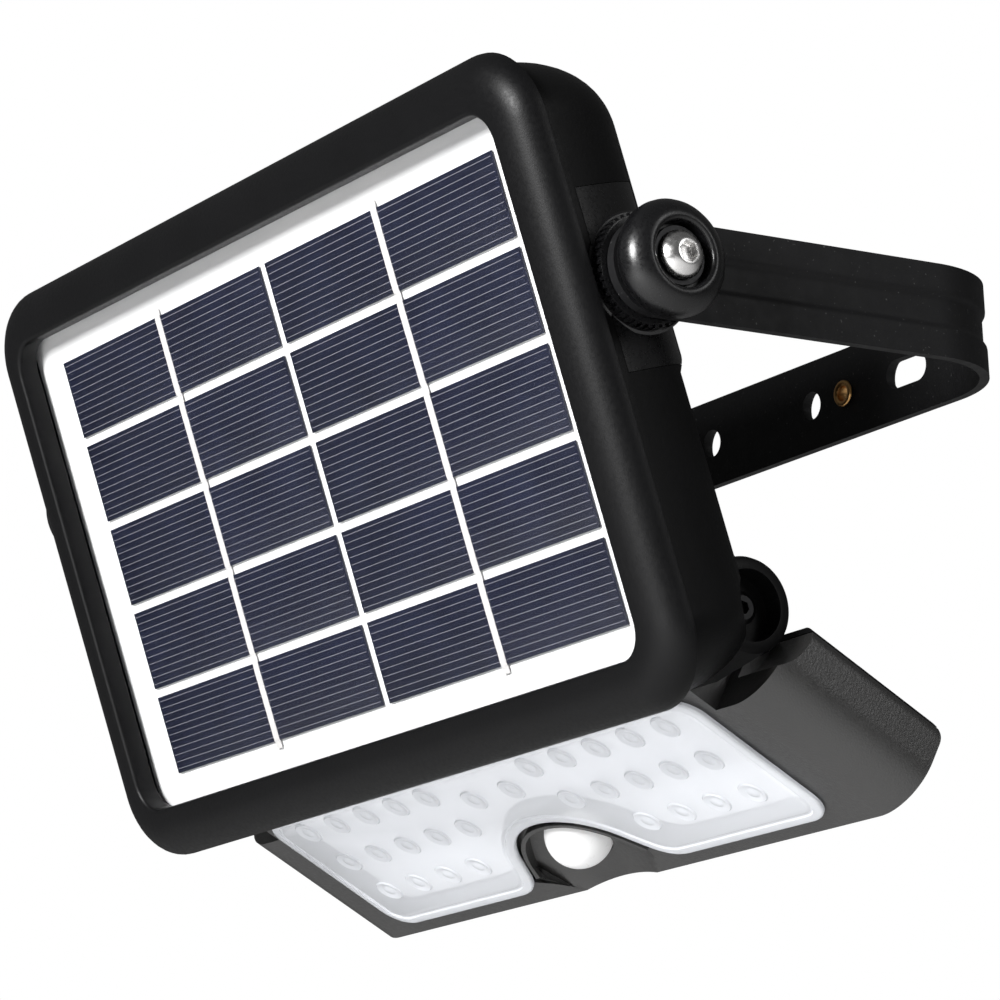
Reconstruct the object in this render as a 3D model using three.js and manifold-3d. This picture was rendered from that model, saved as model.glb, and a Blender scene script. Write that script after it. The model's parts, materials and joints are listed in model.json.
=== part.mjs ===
// Solar flood light: a tilting solar panel head and a hinged LED lamp head on a steel U-bracket.
// Millimetres, +Z up, front facing -Y, the wall at Y = 0. The origin lies on the back of the wall pad.
import * as THREE from 'three';
import { mergeVertices } from 'three/addons/utils/BufferGeometryUtils.js';
import Module from 'manifold-3d';

const wasm = await Module();
wasm.setup();

// Clearances
const GAP = 0.3;

// Solar cells: two columns of five wafer pieces, each crossed by one tab ribbon
const CELL_WIDTH = 91;
const CELL_HEIGHT = 18.7;
const COLUMN_GAP = 2.6;
const ROW_PITCH = 20.9;
const RIBBON_WIDTH = 2.2;
const ROWS = 5;

// Panel head: depths are counted back from the front of the cells
const FRAME_HALF_WIDTH = 113;
const FRAME_HALF_HEIGHT = 70.4;
const FRAME_FRONT = -6.6;
const FRAME_BACK = 0.6;
const OPENING_HALF_WIDTH = 102;
const OPENING_HALF_HEIGHT = 58.3;
const HOUSING_HALF_WIDTH = 110.8;
const HOUSING_HALF_HEIGHT = 68;
const HOUSING_FRONT = 0.9;
const HOUSING_BACK = 27;
const LOWER_BACK = 20.8;
const WALL = 2.4;
const CELL_PLANE = -14.5;
const PANEL_CENTRE = -17.5;

// Pivot between the bracket and the panel head
const FLANGE_RADIUS = 13.2;
const SCREW_RADIUS = 2.95;
const SCREW_HOLE_RADIUS = 3.3;
const KNOB_RADIUS = 12.5;
const INSERT_HALF_HEIGHT = 19.7;
const INSERT_FRONT = 4;
const INSERT_BACK = 23.4;

// Parts of the housing: screws as [X, height, depth of the face], cells, button
const HOUSING_SCREWS = [[88, 44, HOUSING_BACK], [88, -26, LOWER_BACK]];
const BATTERY_RADIUS = 9.1;
const BATTERY_HEIGHTS = [37.5, 16.5];
const BUTTON_X = 52;
const BUTTON_HEIGHT = 20;

// Bracket
const ARM_OUTER = 115.5;
const STRAP_THICKNESS = 2.2;
const STRAP_HEIGHT = 20.8;
const BEND_RADIUS = 10;
const PAD_THICKNESS = 1.3;
const PAD_HALF_LENGTH = 88;
const ARM_LENGTH = 100.5;
const CENTRE_LINE = -7;
const SIDE_HOLE = 38.5;
const SLOT_CENTRE = 73;
const SLOT_HALF_LENGTH = 7;
const THREAD_INSERT_X = 50.7;

// Hinge between the panel head and the lamp head
const HINGE_DEPTH = 26.1;
const HINGE_HEIGHT = -54;
const BARREL_RADIUS = 10;
const SCOOP_RADIUS = 20.8;
const LUG_INNER = 91.6;
const LUG_OUTER = 100.5;
const BARREL_HALF_LENGTH = 90.6;
const BARREL_CLEARANCE = 1.6;
const SHOULDER_SCOOP = 13.7;

// Lamp head: Y and Z are counted from the hinge axis
const LAMP_HALF_WIDTH = 105.5;
const LAMP_FRONT = -18;
const LAMP_SPLIT = 1.3;
const LAMP_BACK = 3;
const LAMP_BOTTOM = -52;
const SHOULDER = -9;
const NECK_HALF_WIDTH = 88;
const LAMP_EDGE_RADIUS = 11.5;
const LENS_HALF_WIDTH = 85;
const LENS_TOP = -1.8;
const LENS_BOTTOM = -47.3;
const LENS_FRONT = -20.1;
const LED_PITCH = 12.8;
const LED_FIRST_COLUMN = 20.8;
const LED_ROWS = [-8.2, -21, -33.8];
const BOWL_RADIUS = 33;
const BOWL_DEPTH = 4;
const SENSOR = { z: -37, radius: 8, centre: -14.6 };
const LAMP_SCREWS = [[98, -21], [98, -46]];

// Pose
const PANEL_TILT = THREE.MathUtils.degToRad(16.5);
const LAMP_TILT = THREE.MathUtils.degToRad(43.9);

// ---------- solids ----------

function solid(geometry) {
  geometry.deleteAttribute('normal');
  geometry.deleteAttribute('uv');
  const merged = mergeVertices(geometry, 1e-4);
  return new wasm.Manifold(new wasm.Mesh({
    numProp: 3,
    vertProperties: new Float32Array(merged.attributes.position.array),
    triVerts: new Uint32Array(merged.index.array),
  }));
}

function block(x0, x1, y0, y1, z0, z1) {
  const box = new THREE.BoxGeometry(x1 - x0, y1 - y0, z1 - z0);
  box.translate((x0 + x1) / 2, (y0 + y1) / 2, (z0 + z1) / 2);
  return solid(box);
}

function extrusion(outline, depth, curveSegments) {
  return new THREE.ExtrudeGeometry(outline, { depth, bevelEnabled: false, curveSegments });
}

// An outline in X and Z, extruded along Y
function slab(outline, y0, y1, steps = 6) {
  const shape = extrusion(outline, y1 - y0, steps);
  shape.rotateX(Math.PI / 2);
  shape.translate(0, y1, 0);
  return solid(shape);
}

// A slab whose edge is rounded towards its front or its back
function pillow(outline, y0, y1, roundDepth, roundInset, end, segments = 5, steps = 6) {
  const depth = y1 - y0 - roundDepth + 1;
  const shape = new THREE.ExtrudeGeometry(outline, {
    depth,
    bevelEnabled: true,
    bevelThickness: roundDepth,
    bevelSize: roundInset,
    bevelOffset: -roundInset,
    bevelSegments: segments,
    curveSegments: steps,
  });
  shape.rotateX(Math.PI / 2);
  shape.translate(0, end === 'front' ? y0 + depth + roundDepth : y1 - roundDepth, 0);
  return solid(shape).intersect(block(-500, 500, y0, y1, -500, 500));
}

// An outline in Y and Z, extruded along X
function bar(outline, x0, x1, steps = 8) {
  const shape = extrusion(outline, x1 - x0, steps);
  shape.applyMatrix4(new THREE.Matrix4().set(0, 0, 1, x0, 1, 0, 0, 0, 0, 1, 0, 0, 0, 0, 0, 1));
  return solid(shape);
}

// An outline in X and Y, extruded along Z
function post(outline, z0, z1, steps = 8) {
  const shape = extrusion(outline, z1 - z0, steps);
  shape.translate(0, 0, z0);
  return solid(shape);
}

// A profile of [position, radius] pairs, turned about an axis through (y, z) along +X
function turnedX(profile, y, z, segments = 32) {
  const shape = new THREE.LatheGeometry(profile.map(([x, r]) => new THREE.Vector2(r, x)), segments);
  shape.rotateZ(-Math.PI / 2);
  shape.translate(0, y, z);
  return solid(shape);
}

// A profile of [position, radius] pairs, turned about an axis through (x, z) along +Y
function turnedY(profile, x, z, segments = 24) {
  const shape = new THREE.LatheGeometry(profile.map(([y, r]) => new THREE.Vector2(r, y)), segments);
  shape.translate(x, 0, z);
  return solid(shape);
}

function rodX(radius, x0, x1, y, z, segments = 32) {
  return turnedX([[x0, 0], [x0, radius], [x1, radius], [x1, 0]], y, z, segments);
}

function rodY(radius, y0, y1, x, z, segments = 24) {
  return turnedY([[y0, 0], [y0, radius], [y1, radius], [y1, 0]], x, z, segments);
}

function mirrored(body) {
  return body.mirror([1, 0, 0]);
}

function roundedRect(halfWidth, z0, z1, radius) {
  const shape = new THREE.Shape();
  shape.moveTo(-halfWidth + radius, z0);
  shape.lineTo(halfWidth - radius, z0);
  shape.absarc(halfWidth - radius, z0 + radius, radius, -Math.PI / 2, 0);
  shape.lineTo(halfWidth, z1 - radius);
  shape.absarc(halfWidth - radius, z1 - radius, radius, 0, Math.PI / 2);
  shape.lineTo(-halfWidth + radius, z1);
  shape.absarc(-halfWidth + radius, z1 - radius, radius, Math.PI / 2, Math.PI);
  shape.lineTo(-halfWidth, z0 + radius);
  shape.absarc(-halfWidth + radius, z0 + radius, radius, Math.PI, 1.5 * Math.PI);
  return shape;
}

function polygon(points) {
  return new THREE.Shape(points.map(([a, b]) => new THREE.Vector2(a, b)));
}

// ---------- materials ----------

function material(color, roughness, metalness = 0, extra = {}) {
  return new THREE.MeshStandardMaterial({ color, roughness, metalness, ...extra });
}

const blackPlastic = material(0x1d1d1e, 0.55);
const glossPlastic = material(0x121213, 0.2);
const greyPlastic = material(0x4a4a49, 0.62);
const powderCoat = material(0x161617, 0.6, 0.2);
const rubber = material(0x1a1a1a, 0.85);
const steel = material(0xb9bbbd, 0.28, 1);
const brass = material(0xb07a3c, 0.35, 1);
const silicon = material(0x343a5a, 0.3);
const whiteSheet = material(0xe8e8e8, 0.5);
const clearGlass = material(0xffffff, 0.08, 0, { transparent: true, opacity: 0.15 });
const clearPlastic = material(0xf4f6fb, 0.15, 0, { transparent: true, opacity: 0.35 });
const whitePlastic = material(0xf6f6f6, 0.4);
const circuitBoard = material(0x2b6b43, 0.5);
const whiteBoard = material(0xf2f2f0, 0.45);
const cellWrap = material(0x3f7fb5, 0.4);

// ---------- assembly ----------

const flood = new THREE.Group();
const bracket = new THREE.Group();
const panelHead = new THREE.Group();
const lampHead = new THREE.Group();
const pivotY = -(PAD_THICKNESS + GAP + STRAP_THICKNESS + ARM_LENGTH);
bracket.position.set(0, 0, CENTRE_LINE);
panelHead.position.set(0, pivotY, CENTRE_LINE);
panelHead.rotation.x = PANEL_TILT;
lampHead.position.set(0, CELL_PLANE + HINGE_DEPTH, PANEL_CENTRE + HINGE_HEIGHT);
lampHead.rotation.x = LAMP_TILT;
flood.add(bracket, panelHead);
panelHead.add(lampHead);

function piece(group, name, body, surface) {
  const { numProp, vertProperties, triVerts } = body.getMesh();
  const geometry = new THREE.BufferGeometry();
  const positions = new Float32Array(triVerts.length * 3);
  triVerts.forEach((vertex, i) => {
    for (let k = 0; k < 3; k += 1) positions[3 * i + k] = vertProperties[vertex * numProp + k];
  });
  geometry.setAttribute('position', new THREE.BufferAttribute(positions, 3));
  geometry.computeVertexNormals();
  const mesh = new THREE.Mesh(geometry, surface);
  mesh.name = name;
  group.add(mesh);
}

// Adds a right-hand piece and its mirror image
function pair(group, name, body, surface) {
  piece(group, `${name}_right`, body, surface);
  piece(group, `${name}_left`, mirrored(body), surface);
}

// ---------- bracket ----------

function bracketOutline(outer, thickness, front) {
  const back = -(PAD_THICKNESS + GAP) - (ARM_OUTER - outer);
  const inner = outer - thickness;
  const bend = BEND_RADIUS - (ARM_OUTER - outer);
  const turn = back - bend;
  const shape = new THREE.Shape();
  shape.moveTo(outer, front);
  shape.lineTo(outer, turn);
  shape.absarc(outer - bend, turn, bend, 0, Math.PI / 2);
  shape.lineTo(-outer + bend, back);
  shape.absarc(-outer + bend, turn, bend, Math.PI / 2, Math.PI);
  shape.lineTo(-outer, front);
  shape.lineTo(-inner, front);
  shape.lineTo(-inner, turn);
  shape.absarc(-outer + bend, turn, bend - thickness, Math.PI, Math.PI / 2, true);
  shape.lineTo(outer - bend, back - thickness);
  shape.absarc(outer - bend, turn, bend - thickness, Math.PI / 2, 0, true);
  shape.lineTo(inner, front);
  return shape;
}

function slotOutline(x, halfLength, radius) {
  const shape = new THREE.Shape();
  const run = halfLength - radius;
  shape.moveTo(x - run, -radius);
  shape.lineTo(x + run, -radius);
  shape.absarc(x + run, 0, radius, -Math.PI / 2, Math.PI / 2);
  shape.lineTo(x - run, radius);
  shape.absarc(x - run, 0, radius, Math.PI / 2, 1.5 * Math.PI);
  return shape;
}

function wallHoles(y0, y1) {
  let holes = rodY(SCREW_HOLE_RADIUS, y0, y1, 0, 0, 20);
  for (const side of [-1, 1]) {
    holes = holes.add(rodY(SCREW_HOLE_RADIUS, y0, y1, side * SIDE_HOLE, 0, 20));
    holes = holes.add(slab(slotOutline(side * SLOT_CENTRE, SLOT_HALF_LENGTH, SCREW_HOLE_RADIUS), y0, y1));
  }
  return holes;
}

function makeBracket() {
  const half = STRAP_HEIGHT / 2;
  const groove = { depth: 0.8, half: 4, start: 15 };
  const front = pivotY - half;
  let strap = post(bracketOutline(ARM_OUTER, STRAP_THICKNESS, front), -half, half, 6);
  const keep = block(-200, 200, pivotY, 10, -half, half).add(rodX(half, -200, 200, pivotY, 0, 32));
  strap = strap.intersect(keep);
  const ring = post(bracketOutline(ARM_OUTER + 3, 3 + groove.depth, front), -groove.half, groove.half, 6);
  const armZone = block(101, 130, pivotY + groove.start, 10, -half, half);
  strap = strap.subtract(ring.intersect(armZone.add(mirrored(armZone))));
  strap = strap.subtract(wallHoles(-20, 10));
  strap = strap.subtract(rodX(SCREW_HOLE_RADIUS, -200, 200, pivotY, 0, 24));
  strap = strap.subtract(rodY(2.5, -20, 10, THREAD_INSERT_X, 0, 20));
  piece(bracket, 'bracket_strap', strap, powderCoat);

  const chamfer = 2.5;
  let pad = post(polygon([
    [-PAD_HALF_LENGTH, -PAD_THICKNESS], [PAD_HALF_LENGTH, -PAD_THICKNESS],
    [PAD_HALF_LENGTH - chamfer, 0], [-PAD_HALF_LENGTH + chamfer, 0],
  ]), -half, half);
  pad = pad.subtract(wallHoles(-5, 5)).subtract(rodY(3.4, -5, 5, THREAD_INSERT_X, 0, 20));
  piece(bracket, 'wall_pad', pad, rubber);

  const strapFront = -(PAD_THICKNESS + GAP + STRAP_THICKNESS);
  const insert = turnedY([
    [strapFront - GAP, 1.6], [strapFront - GAP - 0.5, 1.8], [strapFront - GAP - 0.5, 2.9],
    [strapFront - GAP, 3.1], [strapFront - GAP, 2.2], [-PAD_THICKNESS - GAP, 2.2],
    [-PAD_THICKNESS - GAP, 1.6], [strapFront - GAP, 1.6],
  ], THREAD_INSERT_X, 0, 20);
  piece(bracket, 'thread_insert', insert, brass);
}

// ---------- panel head ----------

// Depth behind the cell plane, and height above the panel's centre, in the head's own frame
const deep = (depth) => CELL_PLANE + depth;
const high = (height) => PANEL_CENTRE + height;

function centredRect(halfWidth, halfHeight, radius) {
  return roundedRect(halfWidth, high(-halfHeight), high(halfHeight), radius);
}

function makePanelFrame() {
  const outline = centredRect(FRAME_HALF_WIDTH, FRAME_HALF_HEIGHT, 17);
  let frame = pillow(outline, deep(FRAME_FRONT), deep(FRAME_BACK), 6.8, 8.5, 'front', 5, 5);
  const lip = 1;
  const mouth = pillow(centredRect(OPENING_HALF_WIDTH + lip, OPENING_HALF_HEIGHT + lip, 8.3),
    deep(-30), deep(FRAME_FRONT + 0.9), 0.9, lip, 'back', 2, 5);
  const light = slab(centredRect(OPENING_HALF_WIDTH, OPENING_HALF_HEIGHT, 7.3), deep(-30), deep(30), 5);
  const seat = centredRect(OPENING_HALF_WIDTH + 3.3, OPENING_HALF_HEIGHT + 3.3, 4.3);
  const pocket = slab(seat, deep(-1.4), deep(30), 4);
  frame = frame.subtract(mouth).subtract(light).subtract(pocket);
  piece(panelHead, 'panel_frame', frame, blackPlastic);
}

function makeLaminate() {
  const sheet = (halfWidth, halfHeight) => centredRect(halfWidth, halfHeight, 4);
  piece(panelHead, 'panel_cover', slab(sheet(104.8, 61.1), deep(-1.1), deep(-0.3), 4), clearGlass);
  piece(panelHead, 'panel_board', slab(sheet(104.8, 61.1), deep(0.7), deep(2.2), 4), whiteSheet);

  const stringBase = deep(0.35);
  const cellFront = deep(0);
  const middle = (CELL_WIDTH + COLUMN_GAP) / 2;
  const reach = ((ROWS - 1) * ROW_PITCH + CELL_HEIGHT) / 2;
  let string = block(middle - RIBBON_WIDTH / 2, middle + RIBBON_WIDTH / 2, cellFront, stringBase,
    high(-reach - 1.8), high(reach + 1.8));
  for (let row = 0; row < ROWS; row += 1) {
    const z = high((row - (ROWS - 1) / 2) * ROW_PITCH);
    string = string.add(block(middle - CELL_WIDTH / 2, middle + CELL_WIDTH / 2, cellFront, stringBase,
      z - CELL_HEIGHT / 2, z + CELL_HEIGHT / 2));
  }
  pair(panelHead, 'cell_string', string, silicon);
}

// Side view of the housing: deep at the top for the battery, stepped in below the pivot
function housingProfile(inset) {
  const front = deep(HOUSING_FRONT) - 1;
  const back = deep(HOUSING_BACK) - inset;
  const lower = deep(LOWER_BACK) - inset;
  const top = high(HOUSING_HALF_HEIGHT) - inset;
  const bottom = high(-HOUSING_HALF_HEIGHT) + inset;
  const shape = new THREE.Shape();
  shape.moveTo(front, bottom);
  shape.lineTo(deep(12) - inset, bottom);
  shape.quadraticCurveTo(lower, bottom + 1, lower, high(-60) + inset);
  shape.lineTo(lower, high(-4) + inset / 2);
  shape.lineTo(back, high(1.5) + inset / 2);
  shape.lineTo(back, high(45) - inset / 2);
  shape.quadraticCurveTo(back - 1, top - 1, front, top);
  return shape;
}

function lugWeb() {
  return polygon([
    [deep(LOWER_BACK) - 2, high(-37)], [deep(LOWER_BACK) + 2.5, high(-39.5)],
    [deep(HINGE_DEPTH), high(-43.4)], [deep(HINGE_DEPTH), high(-64.4)],
    [deep(12), high(-67.5)], [deep(9), high(-50)],
  ]);
}

function housingSkin() {
  const outline = centredRect(HOUSING_HALF_WIDTH, HOUSING_HALF_HEIGHT, 15);
  let skin = pillow(outline, deep(HOUSING_FRONT), deep(HOUSING_BACK), 26, 13, 'back', 5, 5);
  skin = skin.intersect(bar(housingProfile(0), -200, 200, 8));
  const y = deep(HINGE_DEPTH);
  const z = high(HINGE_HEIGHT);
  const r = BARREL_RADIUS + 0.7;
  const eye = [[80, 0], [80, r], [LUG_OUTER - 1.5, r], [LUG_OUTER, r - 1.5], [LUG_OUTER, 0]];
  const lug = turnedX(eye, y, z, 28).add(bar(lugWeb(), 80, LUG_OUTER - 0.5));
  skin = skin.add(lug).add(mirrored(lug));
  return skin.subtract(rodX(SCOOP_RADIUS, -LUG_INNER, LUG_INNER, y, z, 36));
}

function insertZone(grow) {
  return block(98 - grow, 130, deep(INSERT_FRONT) - grow, deep(INSERT_BACK) + grow,
    -INSERT_HALF_HEIGHT - grow, INSERT_HALF_HEIGHT + grow);
}

function housingCavity() {
  const y = deep(HINGE_DEPTH);
  const z = high(HINGE_HEIGHT);
  const outline = centredRect(HOUSING_HALF_WIDTH - 7, HOUSING_HALF_HEIGHT - WALL, 12);
  const inner = bar(housingProfile(WALL), -200, 200, 6);
  let cavity = slab(outline, deep(-5), deep(HOUSING_BACK), 4).intersect(inner);
  cavity = cavity.subtract(rodX(SCOOP_RADIUS + WALL, -LUG_INNER - WALL, LUG_INNER + WALL, y, z, 30));
  for (const side of [-1, 1]) {
    const x = side * 95;
    cavity = cavity.subtract(block(x - 20, x + 20, deep(-20), deep(40), high(-80), high(-39)));
    for (const [screwX, height, back] of HOUSING_SCREWS) {
      cavity = cavity.subtract(rodY(4, deep(3), deep(back), side * screwX, high(height), 16));
    }
  }
  const wall = insertZone(WALL);
  return cavity.subtract(wall).subtract(mirrored(wall));
}

function makeHousing() {
  const skin = housingSkin();
  const y = deep(HINGE_DEPTH);
  const z = high(HINGE_HEIGHT);
  let housing = skin.subtract(housingCavity());
  housing = housing.subtract(slab(centredRect(105.3, 61.6, 5), deep(-5), deep(2.6), 4));
  const cut = insertZone(GAP);
  housing = housing.subtract(cut).subtract(mirrored(cut));
  const bore = rodX(7.8, 95.2, 130, y, z, 32).add(rodX(2.3, 80, 130, y, z, 20));
  housing = housing.subtract(bore).subtract(mirrored(bore));
  const pivotHole = rodX(SCREW_HOLE_RADIUS + GAP, 92, 130, 0, 0, 20)
    .add(rodX(FLANGE_RADIUS + GAP, 107.6 - GAP, 130, 0, 0, 36));
  housing = housing.subtract(pivotHole).subtract(mirrored(pivotHole));
  for (const side of [-1, 1]) {
    for (const [x, height, back] of HOUSING_SCREWS) {
      const hole = rodY(3.3, deep(back - 2.2), deep(back + 5), side * x, high(height), 16)
        .add(rodY(1.7, deep(back - 12), deep(back + 5), side * x, high(height), 12));
      housing = housing.subtract(hole);
    }
  }
  housing = housing.subtract(rodY(5.2, deep(15), deep(40), BUTTON_X, high(BUTTON_HEIGHT), 24));
  piece(panelHead, 'rear_housing', housing, blackPlastic);

  const screw = (back) => [
    [deep(back - 11), 0], [deep(back - 11), 1.4], [deep(back - 1.9), 1.4], [deep(back - 1.9), 2.9],
    [deep(back - 0.8), 2.7], [deep(back - 0.3), 1.6], [deep(back - 0.3), 0],
  ];
  HOUSING_SCREWS.forEach(([x, height, back], i) => {
    pair(panelHead, `housing_screw_${i + 1}`, turnedY(screw(back), x, high(height), 14), steel);
  });

  // Side inserts carry the toothed pivot flanges
  const neck = turnedX([
    [99, 0], [99, 8.5], [107.6, 8.5], [107.6, FLANGE_RADIUS - 0.5], [108.1, FLANGE_RADIUS],
    [110.2, FLANGE_RADIUS], [110.7, FLANGE_RADIUS - 0.5], [110.7, 0],
  ], 0, 0, 36);
  let insert = skin.intersect(insertZone(0)).add(neck);
  insert = insert.add(toothRing(36, 11.6, 10.9, 110.4, 113));
  insert = insert.subtract(rodX(SCREW_HOLE_RADIUS, 90, 130, 0, 0, 20));
  insert = insert.subtract(rodX(5.6, 90, 105, 0, 0, 6));
  pair(panelHead, 'pivot_insert', insert, blackPlastic);
}

// A ring of fine radial teeth that grips the bracket arm
function toothRing(teeth, outer, root, x0, x1) {
  const points = [];
  for (let i = 0; i < teeth; i += 1) {
    const angle = (2 * Math.PI * i) / teeth;
    const next = angle + Math.PI / teeth;
    points.push([outer * Math.cos(angle), outer * Math.sin(angle)]);
    points.push([root * Math.cos(next), root * Math.sin(next)]);
  }
  return bar(polygon(points), x0, x1);
}

function makePivots() {
  const inner = ARM_OUTER + GAP;
  const knob = turnedX([
    [inner, SCREW_HOLE_RADIUS + 0.2], [inner, 8.2], [inner + 1.2, 10.6], [inner + 3.2, 12.1],
    [inner + 5.4, KNOB_RADIUS], [inner + 7.6, 12], [inner + 9.4, 10.6], [inner + 10.3, 8.8],
    [inner + 10, 7.4], [inner + 9, 6.9], [inner + 6.9, 6.8], [inner + 6.9, SCREW_HOLE_RADIUS + 0.2],
    [inner, SCREW_HOLE_RADIUS + 0.2],
  ], 0, 0, 28);
  pair(panelHead, 'knob', knob, blackPlastic);

  const floor = inner + 6.9 + GAP;
  const washerFace = floor + 1;
  const washer = turnedX([
    [floor, 3.2], [floor, 6.4], [washerFace, 6.4], [washerFace, 3.2], [floor, 3.2],
  ], 0, 0, 20);
  pair(panelHead, 'knob_washer', washer, steel);

  const seat = washerFace + GAP;
  let screw = turnedX([
    [96, 0], [96, SCREW_RADIUS], [seat, SCREW_RADIUS], [seat, 5.25], [seat + 0.6, 5.2], [seat + 1.7, 4.6],
    [seat + 2.6, 3.6], [seat + 3.1, 2.6], [seat + 3.1, 0],
  ], 0, 0, 20);
  screw = screw.subtract(rodX(2.3, seat + 1, seat + 5, 0, 0, 6));
  pair(panelHead, 'knob_screw', screw, steel);

  const nut = rodX(5.2, 99, 104.7, 0, 0, 6).subtract(rodX(SCREW_RADIUS + GAP, 90, 110, 0, 0, 16));
  pair(panelHead, 'pivot_nut', nut, brass);
}

function makeElectronics() {
  const depth = 14;
  BATTERY_HEIGHTS.forEach((height, i) => {
    const body = rodX(BATTERY_RADIUS, -60, 5, deep(depth), high(height), 24)
      .add(rodX(2.8, 5, 6.6, deep(depth), high(height), 12));
    piece(panelHead, `battery_cell_${i + 1}`, body, cellWrap);
  });
  let tray = block(-64, 10, deep(depth + BATTERY_RADIUS - 3), deep(23.5), high(5), high(49));
  for (const height of BATTERY_HEIGHTS) {
    tray = tray.subtract(rodX(BATTERY_RADIUS + GAP, -100, 100, deep(depth), high(height), 24));
  }
  for (const [x0, x1] of [[-64, -60.6], [7, 10]]) {
    tray = tray.add(block(x0, x1, deep(6), deep(23.5), high(7), high(46)));
  }
  piece(panelHead, 'battery_tray', tray, whitePlastic);

  let board = block(22, 80, deep(17.4), deep(19), high(4), high(50));
  board = board.add(block(BUTTON_X - 3, BUTTON_X + 3, deep(18.9), deep(20.6), high(BUTTON_HEIGHT - 3),
    high(BUTTON_HEIGHT + 3)));
  board = board.add(block(28, 38, deep(15.4), deep(17.5), high(34), high(44)));
  board = board.add(rodY(4, deep(8), deep(17.5), 66, high(38), 16));
  piece(panelHead, 'charge_board', board, circuitBoard);

  const button = turnedY([
    [deep(21.9), 0], [deep(21.9), 6.8], [deep(23.2), 6.8], [deep(23.2), 4.8], [deep(27.6), 4.8],
    [deep(28.6), 3.8], [deep(28.8), 0],
  ], BUTTON_X, high(BUTTON_HEIGHT), 24);
  piece(panelHead, 'mode_button', button, rubber);
}

// ---------- lamp head ----------

function lampPlan(front, back, backRadius) {
  const w = LAMP_HALF_WIDTH;
  const r = LAMP_EDGE_RADIUS;
  const shape = new THREE.Shape();
  shape.moveTo(-w + r, front);
  shape.lineTo(w - r, front);
  shape.absarc(w - r, front + r, r, -Math.PI / 2, 0);
  shape.lineTo(w, back - backRadius);
  shape.absarc(w - backRadius, back - backRadius, backRadius, 0, Math.PI / 2);
  shape.lineTo(-w + backRadius, back);
  shape.absarc(-w + backRadius, back - backRadius, backRadius, Math.PI / 2, Math.PI);
  shape.lineTo(-w, front + r);
  shape.absarc(-w + r, front + r, r, Math.PI, 1.5 * Math.PI);
  return shape;
}

// The lens outline, with a bell-shaped notch over the motion sensor
function lensOutline(inset) {
  const w = LENS_HALF_WIDTH - inset;
  const top = LENS_TOP - inset;
  const low = LENS_BOTTOM + inset;
  const r = 7 - inset / 2;
  const shape = new THREE.Shape();
  shape.moveTo(33 + inset, low);
  shape.lineTo(w - r, low);
  shape.absarc(w - r, low + r, r, -Math.PI / 2, 0);
  shape.lineTo(w, top - r);
  shape.absarc(w - r, top - r, r, 0, Math.PI / 2);
  shape.lineTo(-w + r, top);
  shape.absarc(-w + r, top - r, r, Math.PI / 2, Math.PI);
  shape.lineTo(-w, low + r);
  shape.absarc(-w + r, low + r, r, Math.PI, 1.5 * Math.PI);
  shape.lineTo(-33 - inset, low);
  bellCurve(shape, inset, low);
  return shape;
}

// The bell-shaped edge over the motion sensor, from left to right
function bellCurve(shape, grow, low) {
  const apex = -26 + grow;
  shape.bezierCurveTo(-26 - grow, low, -24 - grow, -43 + grow, -20.5 - grow, -37.5 + grow / 2);
  shape.bezierCurveTo(-16.5 - grow, -30.5 + grow, -9, apex, 0, apex);
  shape.bezierCurveTo(9, apex, 16.5 + grow, -30.5 + grow, 20.5 + grow, -37.5 + grow / 2);
  shape.bezierCurveTo(24 + grow, -43 + grow, 26 + grow, low, 33 + grow, low);
}

function bellOutline(grow) {
  const side = 33 + grow;
  const shape = new THREE.Shape();
  shape.moveTo(side, LAMP_BOTTOM - 8);
  shape.lineTo(-side, LAMP_BOTTOM - 8);
  shape.lineTo(-side, LENS_BOTTOM + grow);
  bellCurve(shape, grow, LENS_BOTTOM + grow);
  shape.lineTo(side, LAMP_BOTTOM - 8);
  return shape;
}

// The lowest row leaves out the column beside the sensor; two LEDs sit above the sensor
function ledPlaces() {
  const places = [[7.5, -13], [-7.5, -13]];
  LED_ROWS.forEach((z, row) => {
    for (let column = row === 2 ? 1 : 0; column < 5; column += 1) {
      const x = LED_FIRST_COLUMN + column * LED_PITCH;
      places.push([x, z], [-x, z]);
    }
  });
  return places;
}

// The shallow bowl round the motion sensor, moved back by a shift
function bowl(shift) {
  const ball = new THREE.SphereGeometry(BOWL_RADIUS, 56, 40);
  ball.scale(1.35, 1, 1);
  ball.translate(0, LAMP_FRONT + BOWL_DEPTH - BOWL_RADIUS + shift, -40);
  return solid(ball);
}

// Round hollows in the shoulders that clear the housing's lugs, with walls of some thickness
function shoulderScoops(wall) {
  const scoop = rodX(SHOULDER_SCOOP + wall, LUG_INNER - 0.4 - wall, 200, 0, 0, 36);
  return scoop.add(mirrored(scoop));
}

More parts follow.
